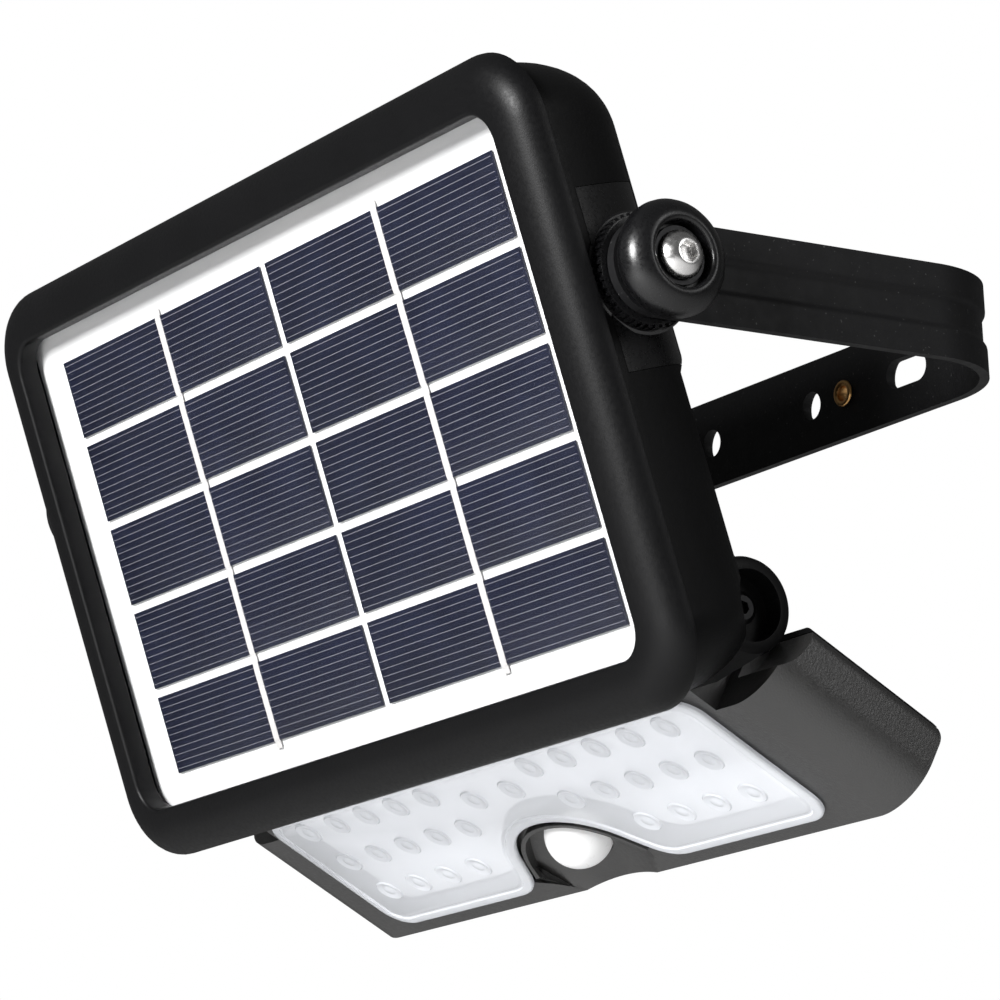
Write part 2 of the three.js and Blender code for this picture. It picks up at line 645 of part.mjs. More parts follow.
function makeLampFront() {
  const plate = 2.5;
  const body = post(lampPlan(LAMP_FRONT, LAMP_SPLIT, 0.4), LAMP_BOTTOM, SHOULDER, 8);
  const neck = bar(polygon([
    [LAMP_FRONT, SHOULDER - 1], [LAMP_FRONT, -1.2], [LAMP_FRONT + 1.2, 0], [-9, 3.5], [0, 5],
    [LAMP_SPLIT, 0], [LAMP_SPLIT, SHOULDER - 1],
  ]), -NECK_HALF_WIDTH, NECK_HALF_WIDTH);
  const barrel = rodX(BARREL_RADIUS, -BARREL_HALF_LENGTH, BARREL_HALF_LENGTH, 0, 0, 32);
  const scoops = shoulderScoops(0);
  let front = body.subtract(scoops).add(neck).add(barrel);
  let cavity = block(-101, 101, LAMP_FRONT + plate, 20, LAMP_BOTTOM + 2.4, -11.4);
  cavity = cavity.subtract(shoulderScoops(2.4));
  cavity = cavity.add(block(-84, 84, LAMP_FRONT + plate, -11.5, -12, -3));
  cavity = cavity.add(rodX(7.4, -76, 76, 0, 0, 24)).add(block(-76, 76, -14, -3, -11, -4));
  for (const side of [-1, 1]) {
    for (const [x, z] of LAMP_SCREWS) {
      cavity = cavity.subtract(rodY(3.9, LAMP_FRONT, 20, side * x, z, 12));
    }
  }
  front = front.subtract(cavity);
  front = front.subtract(slab(lensOutline(3.5), -40, LAMP_FRONT + plate + 1, 4));
  const scoop = bowl(0).intersect(slab(bellOutline(-1.6), -40, 0, 4));
  const bowlWall = bowl(2).intersect(slab(bellOutline(1.5), -40, 0, 4))
    .intersect(block(-34, 34, LAMP_FRONT + 0.5, 0, LAMP_BOTTOM + 0.5, -20));
  const hoodProfile = polygon([
    [LAMP_FRONT + 1, -22], [LAMP_FRONT - 4, -24.7], [LAMP_FRONT, -39.5], [LAMP_FRONT + 1, -39.5],
  ]);
  const hood = slab(bellOutline(-0.5), LAMP_FRONT - 4.2, LAMP_FRONT + 1, 4).intersect(bar(hoodProfile, -30, 30));
  front = front.add(bowlWall).add(hood).subtract(scoop);
  front = front.subtract(rodY(SENSOR.radius + GAP, -30, -8, 0, SENSOR.z, 32));
  const bore = rodX(2.3, 78, 100, 0, 0, 16);
  front = front.subtract(bore).subtract(mirrored(bore));
  for (const side of [-1, 1]) {
    for (const [x, z] of LAMP_SCREWS) front = front.subtract(rodY(1.7, -9, 20, side * x, z, 12));
  }
  piece(lampHead, 'lamp_front', front, greyPlastic);
}

function makeLampBack() {
  const split = LAMP_SPLIT + GAP;
  let back = post(lampPlan(LAMP_FRONT, LAMP_BACK, 1.2), LAMP_BOTTOM, SHOULDER, 6)
    .intersect(block(-200, 200, split, 20, -100, 100))
    .subtract(rodX(BARREL_RADIUS + BARREL_CLEARANCE, -200, 200, 0, 0, 32))
    .subtract(shoulderScoops(0));
  const raised = pillow(roundedRect(82, LAMP_BOTTOM + 5, -12, 6), split, LAMP_BACK + 5.5, 4, 4, 'back', 3, 4);
  back = back.add(raised);
  const hollow = roundedRect(79.6, LAMP_BOTTOM + 7.4, -14.4, 4);
  back = back.subtract(pillow(hollow, split - 5, LAMP_BACK + 3.5, 3, 3, 'back', 2, 4));
  for (const side of [-1, 1]) {
    for (const [x, z] of LAMP_SCREWS) back = back.subtract(rodY(1.7, -9, 20, side * x, z, 12));
  }
  piece(lampHead, 'lamp_back', back, blackPlastic);
  LAMP_SCREWS.forEach(([x, z], i) => {
    const screw = turnedY([
      [-7, 0], [-7, 1.4], [LAMP_BACK + GAP, 1.4], [LAMP_BACK + GAP, 2.8], [LAMP_BACK + 1.2, 2.6],
      [LAMP_BACK + 1.8, 1.5], [LAMP_BACK + 1.8, 0],
    ], x, z, 14);
    pair(lampHead, `lamp_screw_${i + 1}`, screw, steel);
  });
}

function makeOptics() {
  const seat = LAMP_FRONT - GAP;
  let lens = pillow(lensOutline(0), LENS_FRONT + 0.7, seat, 0.9, 0.9, 'front', 2, 5);
  lens = lens.add(pillow(lensOutline(4), LENS_FRONT, seat, 0.5, 0.5, 'front', 1, 5));
  piece(lampHead, 'lens_cover', lens, clearPlastic);

  const boardFront = LAMP_FRONT + 2.5 + GAP + 0.3;
  let board = slab(lensOutline(4.5), boardFront, boardFront + 1.6, 4);
  for (const [x, z] of ledPlaces()) {
    board = board.add(block(x - 1.6, x + 1.6, boardFront - 0.9, boardFront + 0.5, z - 1.6, z + 1.6));
  }
  piece(lampHead, 'led_board', board, whiteBoard);

  const dome = new THREE.SphereGeometry(SENSOR.radius, 20, 14);
  dome.translate(0, SENSOR.centre, SENSOR.z);
  const inside = new THREE.SphereGeometry(SENSOR.radius - 1, 14, 10);
  inside.translate(0, SENSOR.centre, SENSOR.z);
  let domeBody = solid(dome).intersect(block(-20, 20, -40, SENSOR.centre, -80, 20));
  domeBody = domeBody.add(rodY(SENSOR.radius, SENSOR.centre - 0.1, SENSOR.centre + 4, 0, SENSOR.z, 20));
  domeBody = domeBody.subtract(solid(inside))
    .subtract(rodY(SENSOR.radius - 1, SENSOR.centre, 0, 0, SENSOR.z, 20));
  piece(lampHead, 'sensor_dome', domeBody, whitePlastic);

  const can = rodY(4.1, SENSOR.centre - 1, SENSOR.centre + 3.5, 0, SENSOR.z, 20)
    .add(rodY(4.7, SENSOR.centre + 2.8, SENSOR.centre + 3.8, 0, SENSOR.z, 20));
  piece(lampHead, 'sensor_can', can, steel);
  let sensorBoard = block(-15, 15, SENSOR.centre + 4.6, SENSOR.centre + 6.2, -48.5, -26);
  sensorBoard = sensorBoard.add(block(-11, -5, SENSOR.centre + 6.1, SENSOR.centre + 8, -34, -28));
  piece(lampHead, 'sensor_board', sensorBoard, circuitBoard);
}

// ---------- hinge ----------

function makeHinge() {
  const y = deep(HINGE_DEPTH);
  const z = high(HINGE_HEIGHT);
  let pin = turnedX([
    [81, 0], [81, 2], [95.5, 2], [95.5, 3.8], [97.4, 3.6], [98, 2.6], [98, 0],
  ], y, z, 20);
  pin = pin.subtract(rodX(1.5, 96.6, 100, y, z, 6));
  pair(panelHead, 'hinge_screw', pin, steel);
  const washer = turnedX([[90.8, 2.3], [90.8, 6.5], [91.4, 6.5], [91.4, 2.3], [90.8, 2.3]], y, z, 24);
  pair(panelHead, 'hinge_washer', washer, steel);
}

makeBracket();
makePanelFrame();
makeLaminate();
makeHousing();
makePivots();
makeElectronics();
makeLampFront();
makeLampBack();
makeOptics();
makeHinge();

export default flood;
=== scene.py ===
"""The looks of the solar flood light: panel head, lamp head and U-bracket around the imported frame.

Pieces are modelled in millimetres in the frame of the part they belong to, then laid in the row frame:
the panel head's frame starts at its pivot, the lamp head's at its hinge, the bracket's at the wall.
In all three +X is to the right, +Y is away from the front and +Z is up.
"""
import json
import math

import bmesh
import bpy
from mathutils import Matrix, Vector
from mathutils.geometry import interpolate_bezier


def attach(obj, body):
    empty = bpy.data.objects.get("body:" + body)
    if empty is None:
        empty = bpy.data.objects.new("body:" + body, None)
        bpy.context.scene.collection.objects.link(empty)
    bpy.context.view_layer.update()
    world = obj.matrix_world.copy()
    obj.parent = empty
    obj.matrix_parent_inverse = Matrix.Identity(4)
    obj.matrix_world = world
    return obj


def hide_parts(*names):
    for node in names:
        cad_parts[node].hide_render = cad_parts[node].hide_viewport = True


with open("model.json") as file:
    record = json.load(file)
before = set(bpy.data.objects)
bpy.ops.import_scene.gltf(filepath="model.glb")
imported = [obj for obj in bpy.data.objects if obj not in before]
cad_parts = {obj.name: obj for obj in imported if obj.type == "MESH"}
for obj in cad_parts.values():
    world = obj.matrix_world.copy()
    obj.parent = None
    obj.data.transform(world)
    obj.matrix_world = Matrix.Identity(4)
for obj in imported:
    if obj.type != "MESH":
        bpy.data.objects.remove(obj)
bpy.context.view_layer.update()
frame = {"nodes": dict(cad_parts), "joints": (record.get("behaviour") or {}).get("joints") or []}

# ---------- where things are ----------

MM = 0.001
joints = {joint["name"]: joint for joint in frame["joints"]}
PIVOT = Vector(joints["panel_tilt"]["pos_m"])
HINGE = Vector(joints["lamp_tilt"]["pos_m"])
press = Vector(joints["button_press"]["axis"])
PANEL_TILT = math.atan2(-press.z, -press.y)
LAMP_TILT = PANEL_TILT + math.radians(43.9)
HEAD = Matrix.Translation(PIVOT) @ Matrix.Rotation(PANEL_TILT, 4, "X") @ Matrix.Scale(MM, 4)
LAMP = Matrix.Translation(HINGE) @ Matrix.Rotation(LAMP_TILT, 4, "X") @ Matrix.Scale(MM, 4)
BRACKET = Matrix.Translation((0, 0, PIVOT.z)) @ Matrix.Scale(MM, 4)

# Panel head, in mm: depths are counted back from the front of the cells
CELL_PLANE = -14.5
PANEL_CENTRE = -17.5
FRAME_HALF = (113, 70.4)
OPENING_HALF = (102, 58.3)
FRAME_FRONT = -6.6
FRAME_BACK = 0.6
HOUSING_HALF = (110.8, 68)
HOUSING_FRONT = 0.9
HOUSING_BACK = 27
LOWER_BACK = 20.8
CELL = (91, 18.7)
COLUMN_GAP = 2.6
ROW_PITCH = 20.9
ROWS = 5
FINGERS = 11
FINGER_PITCH = 1.66
RIBBON_WIDTH = 2.2

# Case screws as (X, height, depth of the face they sit in), and the mode button
CASE_SCREWS = [(88, 44, HOUSING_BACK), (88, -26, LOWER_BACK)]
BUTTON = {"x": 52, "height": 20}

# Hinge and lamp head, in mm
HINGE_AT = (11.6, -71.5)
BARREL_RADIUS = 10
LUG_INNER = 91.6
LUG_OUTER = 100.5
SCOOP_RADIUS = 20.8
SHOULDER_SCOOP = 13.7
LAMP_HALF = 105.5
LAMP_FRONT = -18
LAMP_SPLIT = 1.3
LAMP_BACK = 3
LAMP_BOTTOM = -52
SHOULDER = -9
NECK_HALF = 88
LAMP_EDGE = 11.5
LENS_HALF = 85
LENS_TOP = -1.8
LENS_BOTTOM = -47.3
SENSOR_Z = -37
SENSOR_RADIUS = 8
SENSOR_CENTRE = -14.6
LED_COLUMNS = [20.8 + 12.8 * i for i in range(5)]
LED_ROWS = [-8.2, -21, -33.8]
LID_SCREWS = [(98, -21), (98, -46)]
BOWL_RADIUS = 33

# Bracket, in mm
ARM_OUTER = 115.5
STRAP = (20.8, 2.2)
PAD_THICKNESS = 1.3
STRAP_BACK = -1.6
BEND = 27
PAD_HALF_LENGTH = 88
PAD_HALF_HEIGHT = 9.4
SIDE_HOLE_X = 38.5
SLOT_X = 73
SLOT_REACH = 7
THREAD_INSERT_X = 50.7
HOLE_RADIUS = 3.3


def deep(depth):
    return CELL_PLANE + depth


def high(height):
    return PANEL_CENTRE + height


# ---------- shapes ----------

def outline(points, plane, level):
    """A flat face through points given in a plane: XZ at a Y, YZ at an X or XY at a Z."""
    place = {
        "XZ": lambda a, b: (a, level, b),
        "YZ": lambda a, b: (level, a, b),
        "XY": lambda a, b: (a, b, level),
    }[plane]
    bm = bmesh.new()
    bm.faces.new([bm.verts.new(place(a, b)) for a, b in points])
    return bm


def thicken(bm, vector):
    """Extrudes a flat face into a closed solid."""
    faces = bm.faces[:]
    made = bmesh.ops.extrude_face_region(bm, geom=faces, use_keep_orig=True)["geom"]
    bmesh.ops.translate(bm, verts=[v for v in made if isinstance(v, bmesh.types.BMVert)], vec=vector)
    bmesh.ops.recalc_face_normals(bm, faces=bm.faces)
    return bm


def round_corners(bm, radius, steps, chosen=None):
    """Rounds the corners of a flat face: all of them, or those that chosen picks."""
    verts = [v for v in bm.verts if chosen is None or chosen(v.co)]
    bmesh.ops.bevel(bm, geom=verts, offset=radius, segments=steps, affect="VERTICES", profile=0.5,
                    material=-1)
    return bm


def prism(points, plane, start, end, corner=0, steps=8, chosen=None):
    """An outline, its corners rounded if asked, extruded from start to end across its plane."""
    bm = outline(points, plane, start)
    if corner:
        round_corners(bm, corner, steps, chosen)
    length = end - start
    return thicken(bm, {"XZ": (0, length, 0), "YZ": (length, 0, 0), "XY": (0, 0, length)}[plane])


def box(x0, x1, y0, y1, z0, z1):
    return prism([(x0, z0), (x1, z0), (x1, z1), (x0, z1)], "XZ", y0, y1)


def rectangle(half_width, low, top):
    return [(-half_width, low), (half_width, low), (half_width, top), (-half_width, top)]


def loft(stations, closed=False, steps=12):
    """Bridges rounded rectangles given as (half width, lowest Z, highest Z, corner radius, Y).
    The ends are capped, or joined to each other where the loft is closed on itself."""
    bm = bmesh.new()
    rings = []
    for half_width, low, top, corner, y in stations:
        ring = round_corners(outline(rectangle(half_width, low, top), "XZ", y), corner, steps)
        mesh = bpy.data.meshes.new("ring")
        ring.to_mesh(mesh)
        ring.free()
        before = set(bm.edges)
        bm.from_mesh(mesh)
        bpy.data.meshes.remove(mesh)
        rings.append([edge for edge in bm.edges if edge not in before])
    bm.faces.ensure_lookup_table()
    drop = bm.faces[:] if closed else bm.faces[1:-1]
    bmesh.ops.delete(bm, geom=drop, context="FACES_ONLY")
    pairs = list(zip(rings, rings[1:])) + ([(rings[-1], rings[0])] if closed else [])
    for first, second in pairs:
        bmesh.ops.bridge_loops(bm, edges=first + second)
    bmesh.ops.recalc_face_normals(bm, faces=bm.faces)
    return bm


def turned(profile, axis, centre, steps=64):
    """A profile of (position along the axis, radius) pairs, turned about X or Y."""
    along = {"X": Vector((1, 0, 0)), "Y": Vector((0, 1, 0))}[axis]
    out = {"X": Vector((0, 0, 1)), "Y": Vector((0, 0, 1))}[axis]
    middle = Vector(centre)
    bm = bmesh.new()
    verts = [bm.verts.new(middle + along * position + out * radius) for position, radius in profile]
    edges = [bm.edges.new(pair) for pair in zip(verts, verts[1:])]
    bmesh.ops.spin(bm, geom=verts + edges, cent=middle, axis=along, dvec=(0, 0, 0), angle=2 * math.pi,
                   steps=steps, use_merge=True)
    bmesh.ops.remove_doubles(bm, verts=bm.verts, dist=1e-4)
    bmesh.ops.recalc_face_normals(bm, faces=bm.faces)
    return bm


def rod(radius, start, end, axis, centre, steps=48):
    return turned([(start, 0), (start, radius), (end, radius), (end, 0)], axis, centre, steps)


def arc(centre, radius, start, end, steps):
    """Points on an arc, angles in degrees."""
    points = []
    for i in range(steps + 1):
        angle = math.radians(start + (end - start) * i / steps)
        points.append((centre[0] + radius * math.cos(angle), centre[1] + radius * math.sin(angle)))
    return points


def mirrored(bm):
    copy = bm.copy()
    bmesh.ops.scale(copy, vec=(-1, 1, 1), verts=copy.verts)
    bmesh.ops.reverse_faces(copy, faces=copy.faces)
    return copy


def shell_object(bm):
    mesh = bpy.data.meshes.new("tool")
    bm.to_mesh(mesh)
    bm.free()
    obj = bpy.data.objects.new("tool", mesh)
    bpy.context.scene.collection.objects.link(obj)
    return obj


def combine(body, tool, operation):
    """Joins, cuts or keeps what two closed solids share. Both are used up."""
    first, second = shell_object(body), shell_object(tool)
    cut = first.modifiers.new("cut", "BOOLEAN")
    cut.object = second
    cut.operation = operation
    cut.solver = "EXACT"
    graph = bpy.context.evaluated_depsgraph_get()
    mesh = bpy.data.meshes.new_from_object(first.evaluated_get(graph))
    result = bmesh.new()
    result.from_mesh(mesh)
    for obj in (first, second):
        data = obj.data
        bpy.data.objects.remove(obj)
        bpy.data.meshes.remove(data)
    bpy.data.meshes.remove(mesh)
    bmesh.ops.remove_doubles(result, verts=result.verts, dist=1e-4)
    return result


def join(body, *tools):
    for tool in tools:
        body = combine(body, tool, "UNION")
    return body


def cut(body, *tools):
    for tool in tools:
        body = combine(body, tool, "DIFFERENCE")
    return body


def keep(body, tool):
    return combine(body, tool, "INTERSECT")


def both_sides(tool):
    return [mirrored(tool), tool]


def merge(*parts):
    """Puts separate solids in one mesh."""
    result = bmesh.new()
    for part in parts:
        mesh = bpy.data.meshes.new("part")
        part.to_mesh(mesh)
        part.free()
        result.from_mesh(mesh)
        bpy.data.meshes.remove(mesh)
    return result


def finish(name, bm, home, surfaces, body, nodes=(), edge=0.0, angle=35):
    """Lays a piece in the row frame, rounds its sharp edges and gives it its surfaces and its body."""
    bmesh.ops.dissolve_degenerate(bm, dist=1e-5, edges=bm.edges)
    bm.transform(home)
    mesh = bpy.data.meshes.new(name)
    bm.to_mesh(mesh)
    bm.free()
    for surface in surfaces:
        mesh.materials.append(surface)
    mesh.polygons.foreach_set("use_smooth", [True] * len(mesh.polygons))
    mesh.set_sharp_from_angle(angle=math.radians(angle))
    obj = bpy.data.objects.new(name, mesh)
    bpy.context.scene.collection.objects.link(obj)
    if edge:
        bevel = obj.modifiers.new("edge", "BEVEL")
        bevel.width = edge * MM
        bevel.segments = 3
        bevel.limit_method = "ANGLE"
        bevel.angle_limit = math.radians(angle)
        bevel.miter_outer = "MITER_ARC"
        normals = obj.modifiers.new("normals", "WEIGHTED_NORMAL")
        normals.keep_sharp = True
    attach(obj, body)
    if nodes:
        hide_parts(*nodes)
    return obj


# ---------- surfaces ----------

def surface(name):
    """A Principled material, with its nodes, its links and its shader."""
    material = bpy.data.materials.new(name)
    material.use_nodes = True
    nodes = material.node_tree.nodes
    return material, nodes, material.node_tree.links, nodes["Principled BSDF"]


def noise(nodes, links, scale, detail=2.0, roughness=0.5, turn=None, stretch=(1, 1, 1)):
    """Noise in the row frame's metres: scale is the number of lumps in a metre."""
    place = nodes.new("ShaderNodeTexCoord")
    mapping = nodes.new("ShaderNodeMapping")
    mapping.inputs["Rotation"].default_value = turn or (0, 0, 0)
    mapping.inputs["Scale"].default_value = stretch
    texture = nodes.new("ShaderNodeTexNoise")
    texture.inputs["Scale"].default_value = scale
    texture.inputs["Detail"].default_value = detail
    texture.inputs["Roughness"].default_value = roughness
    links.new(place.outputs["Object"], mapping.inputs["Vector"])
    links.new(mapping.outputs["Vector"], texture.inputs["Vector"])
    return texture.outputs["Fac"]


def spread(nodes, links, value, low, top):
    """Maps noise from 0.3..0.7 to the range low to top."""
    ramp = nodes.new("ShaderNodeMapRange")
    ramp.inputs["From Min"].default_value = 0.3
    ramp.inputs["From Max"].default_value = 0.7
    ramp.inputs["To Min"].default_value = low
    ramp.inputs["To Max"].default_value = top
    links.new(value, ramp.inputs["Value"])
    return ramp.outputs["Result"]


def tint(nodes, links, value, first, second):
    """Mixes two colours by a value from 0 to 1."""
    mix = nodes.new("ShaderNodeMix")
    mix.data_type = "RGBA"
    mix.inputs["A"].default_value = (*first, 1)
    mix.inputs["B"].default_value = (*second, 1)
    links.new(value, mix.inputs["Factor"])
    return mix.outputs["Result"]


def bump(nodes, links, shader, value, strength, distance):
    node = nodes.new("ShaderNodeBump")
    node.inputs["Strength"].default_value = strength
    node.inputs["Distance"].default_value = distance
    links.new(value, node.inputs["Height"])
    links.new(node.outputs["Normal"], shader.inputs["Normal"])


def moulded(name, shade, roughness, grain, strength, specular=0.5):
    """Moulded plastic: a fine spark-eroded grain, slight cloudiness and uneven gloss."""
    material, nodes, links, shader = surface(name)
    cloud = spread(nodes, links, noise(nodes, links, 45, 3), 0, 1)
    darker = tuple(c * 0.82 for c in shade)
    links.new(tint(nodes, links, cloud, darker, shade), shader.inputs["Base Color"])
    gloss = noise(nodes, links, grain * 0.45, 2)
    links.new(spread(nodes, links, gloss, roughness - 0.05, roughness + 0.06), shader.inputs["Roughness"])
    shader.inputs["Specular IOR Level"].default_value = specular
    bump(nodes, links, shader, noise(nodes, links, grain, 3, 0.6), strength, 0.00012)
    return material


def metal(name, shade, roughness, brushed=0.0):
    """Bare metal with faint scratches and smears."""
    material, nodes, links, shader = surface(name)
    shader.inputs["Metallic"].default_value = 1.0
    smear = spread(nodes, links, noise(nodes, links, 260, 4), 0, 1)
    links.new(tint(nodes, links, smear, tuple(c * 0.86 for c in shade), shade), shader.inputs["Base Color"])
    links.new(spread(nodes, links, noise(nodes, links, 900, 3), roughness - 0.04, roughness + 0.08),
              shader.inputs["Roughness"])
    bump(nodes, links, shader, noise(nodes, links, 1800, 2, stretch=(1, 1, 6)), 0.1 + brushed, 0.00003)
    return material


def paint_finish():
    """Black powder coat: a low orange peel and tiny pale specks."""
    material, nodes, links, shader = surface("powder_coat")
    speck = nodes.new("ShaderNodeMapRange")
    speck.inputs["From Min"].default_value = 0.72
    speck.inputs["From Max"].default_value = 0.78
    links.new(noise(nodes, links, 1500, 1), speck.inputs["Value"])
    links.new(tint(nodes, links, speck.outputs["Result"], (0.0045, 0.0045, 0.005), (0.05, 0.05, 0.05)),
              shader.inputs["Base Color"])
    links.new(spread(nodes, links, noise(nodes, links, 300, 2), 0.5, 0.62), shader.inputs["Roughness"])
    shader.inputs["Specular IOR Level"].default_value = 0.25
    bump(nodes, links, shader, noise(nodes, links, 1400, 3, 0.6), 0.35, 0.00012)
    return material


def silicon_finish():
    """Navy silicon under the laminate, each cell a little different, with faint crystal clouds."""
    material, nodes, links, shader = surface("silicon")
    cloud = spread(nodes, links, noise(nodes, links, 60, 5, 0.6), 0, 1)
    colour = tint(nodes, links, cloud, (0.004, 0.0055, 0.016), (0.008, 0.0105, 0.027))
    links.new(colour, shader.inputs["Base Color"])
    links.new(spread(nodes, links, noise(nodes, links, 500, 3), 0.3, 0.42), shader.inputs["Roughness"])
    shader.inputs["Coat Weight"].default_value = 0.1
    shader.inputs["Coat Roughness"].default_value = 0.22
    bump(nodes, links, shader, noise(nodes, links, 700, 2), 0.05, 0.00003)
    return material


def sheet_finish():
    """White backing sheet under the laminate, faintly quilted."""
    material, nodes, links, shader = surface("white_sheet")
    cloud = spread(nodes, links, noise(nodes, links, 30, 3), 0, 1)
    colour = tint(nodes, links, cloud, (0.76, 0.765, 0.77), (0.82, 0.82, 0.82))
    links.new(colour, shader.inputs["Base Color"])
    links.new(spread(nodes, links, noise(nodes, links, 350, 2), 0.34, 0.5), shader.inputs["Roughness"])
    bump(nodes, links, shader, noise(nodes, links, 900, 2), 0.08, 0.00004)
    return material


def clear_finish(name, shade, alpha, roughness):
    """Clear sheet or lens plastic that lets light straight through."""
    material, nodes, links, shader = surface(name)
    shader.inputs["Base Color"].default_value = (*shade, 1)
    shader.inputs["Alpha"].default_value = alpha
    links.new(spread(nodes, links, noise(nodes, links, 220, 3), roughness, roughness + 0.08),
              shader.inputs["Roughness"])
    bump(nodes, links, shader, noise(nodes, links, 140, 2), 0.06, 0.0001)
    return material


def plain_finish(name, shade, roughness, grain=700, emission=0.0):
    """Plain smooth plastic, rubber or lacquer with slight mottling; where emission is given, a painted glow on a
    part that is no lamp.
    """
    material, nodes, links, shader = surface(name)
    cloud = spread(nodes, links, noise(nodes, links, 90, 3), 0, 1)
    links.new(tint(nodes, links, cloud, tuple(c * 0.93 for c in shade), shade), shader.inputs["Base Color"])
    links.new(spread(nodes, links, noise(nodes, links, grain, 2), roughness - 0.04, roughness + 0.05),
              shader.inputs["Roughness"])
    bump(nodes, links, shader, noise(nodes, links, grain * 2, 2), 0.08, 0.00005)
    # Emission here is painted light: it makes the part glow as if it were lit.
    if emission:
        shader.inputs["Emission Color"].default_value = (*shade, 1)
        shader.inputs["Emission Strength"].default_value = emission
    return material


black_plastic = moulded("black_plastic", (0.004, 0.004, 0.0043), 0.4, 2600, 0.2, 0.15)
knob_plastic = moulded("knob_plastic", (0.003, 0.003, 0.0034), 0.3, 3200, 0.06, 0.5)
gloss_plastic = moulded("gloss_plastic", (0.006, 0.006, 0.0065), 0.13, 3000, 0.03)
lamp_plastic = moulded("lamp_plastic", (0.018, 0.0175, 0.017), 0.34, 1900, 0.7, 1.0)
powder_coat = paint_finish()
silicon = silicon_finish()
silver_print = plain_finish("silver_print", (0.18, 0.18, 0.21), 0.4)
ribbon_metal = plain_finish("ribbon_metal", (0.6, 0.59, 0.58), 0.35)
white_sheet = sheet_finish()
cover_clear = clear_finish("cover_clear", (0.02, 0.02, 0.025), 0.06, 0.1)
lens_clear = clear_finish("lens_clear", (0.92, 0.94, 0.98), 0.62, 0.1)
steel = metal("steel", (0.82, 0.81, 0.8), 0.24)
# Dark steel; on the knob washer the darkness is painted shade of the recess round the screw head.
dark_steel_painted_shade = metal("dark_steel_painted_shade", (0.035, 0.035, 0.036), 0.34)
brass = metal("brass", (0.62, 0.36, 0.14), 0.3)
rubber = plain_finish("rubber", (0.013, 0.013, 0.013), 0.75)
white_plastic = plain_finish("white_plastic", (0.86, 0.86, 0.86), 0.35)
# White dome plastic with a painted glow: the sensor dome is no lamp.
dome_painted_glow = plain_finish("dome_painted_glow", (0.9, 0.9, 0.9), 0.3, emission=0.15)
# White LED plate with a painted glow that brightens it behind the milky lens.
led_white = plain_finish("led_white", (0.92, 0.92, 0.93), 0.5, emission=0.6)
board_green = plain_finish("board_green", (0.02, 0.13, 0.05), 0.4)
cell_sleeve = plain_finish("cell_sleeve", (0.04, 0.17, 0.4), 0.35)


# ---------- panel head ----------

def frame_station(inset, depth, corner=17):
    half_width, half_height = FRAME_HALF[0] - inset, FRAME_HALF[1] - inset
    return (half_width, high(-half_height), high(half_height), max(corner - inset, 4), deep(depth))


def opening_station(grow, depth, corner=7.3):
    half_width, half_height = OPENING_HALF[0] + grow, OPENING_HALF[1] + grow
    return (half_width, high(-half_height), high(half_height), corner + grow * 0.8, deep(depth))


def make_front_frame():
    """The bezel: a pillowed ring with a rounded lip down into the recess."""
    drop, pillow, lip = 6.8, 8.5, 1.0
    stations = [frame_station(0.15, FRAME_BACK), frame_station(0, FRAME_BACK - 0.15)]
    for i in range(0, 11):
        a = math.radians(9 * i)
        stations.append(frame_station(pillow * (1 - math.cos(a)), FRAME_FRONT + drop * (1 - math.sin(a))))
    for i in range(0, 7):
        a = math.radians(15 * i)
        stations.append(opening_station(lip * (1 - math.sin(a)), FRAME_FRONT + lip * (1 - math.cos(a))))
    stations.append(opening_station(0, -1.6))
    stations.append(opening_station(0.2, -1.4))
    stations.append(opening_station(3.3, -1.4, 5))
    stations.append(opening_station(3.3, FRAME_BACK, 5))
    finish("front_frame", loft(stations, closed=True, steps=14), HEAD, [black_plastic], "panel_head",
           ["panel_frame"])


def make_laminate():
    """The clear top sheet and the white backing behind the cells."""
    def slab(front, back, round_edge):
        half_width, half_height = OPENING_HALF[0] + 2.8, OPENING_HALF[1] + 2.8
        stations = []
        for grow, depth in [(-round_edge, front), (0, front + round_edge),
                            (0, back - round_edge), (-round_edge, back)]:
            low, top = high(-half_height - grow), high(half_height + grow)
            stations.append((half_width + grow, low, top, 4, deep(depth)))
        return loft(stations)
    finish("top_sheet", slab(-1.1, -0.3, 0.15), HEAD, [cover_clear], "panel_head", ["panel_cover"])
    finish("backing_sheet", slab(0.7, 2.2, 0.2), HEAD, [white_sheet], "panel_head", ["panel_board"])


def cell_positions():
    return [high((row - (ROWS - 1) / 2) * ROW_PITCH) for row in range(ROWS)]


def soft_slab(x0, x1, z0, z1, front, back, edge):
    """A thin slab whose front edges are broken."""
    bm = box(x0, x1, front, back, z0, z1)
    rim = [e for e in bm.edges if all(abs(v.co.y - front) < 1e-5 for v in e.verts)]
    bmesh.ops.bevel(bm, geom=rim, offset=edge, segments=2, affect="EDGES", profile=0.5, material=-1)
    return bm


def make_cell_strings():
    """Five cells a side, their printed fingers, and the tab ribbon that joins them."""
    middle = (CELL[0] + COLUMN_GAP) / 2
    left, right = middle - CELL[0] / 2, middle + CELL[0] / 2
    front = deep(0)
    for side, label in ((1, "right"), (-1, "left")):
        cells, fingers = [], []
        for z in cell_positions():
            low, top = z - CELL[1] / 2, z + CELL[1] / 2
            cells.append(soft_slab(left, right, low, top, front, deep(0.35), 0.06))
            for i in range(FINGERS):
                line = z + (i - (FINGERS - 1) / 2) * FINGER_PITCH
                fingers.append(box(left + 0.6, right - 0.6, front - 0.03, front + 0.02,
                                   line - 0.07, line + 0.07))
        cells, fingers = merge(*cells), merge(*fingers)
        for bm in (cells, fingers):
            if side < 0:
                bmesh.ops.scale(bm, vec=(-1, 1, 1), verts=bm.verts)
                bmesh.ops.reverse_faces(bm, faces=bm.faces)
        finish(f"cells_{label}", cells, HEAD, [silicon], "panel_head", [f"cell_string_{label}"])
        finish(f"fingers_{label}", fingers, HEAD, [silver_print], "panel_head")
        finish(f"ribbon_{label}", ribbon(side * middle), HEAD, [ribbon_metal], "panel_head")


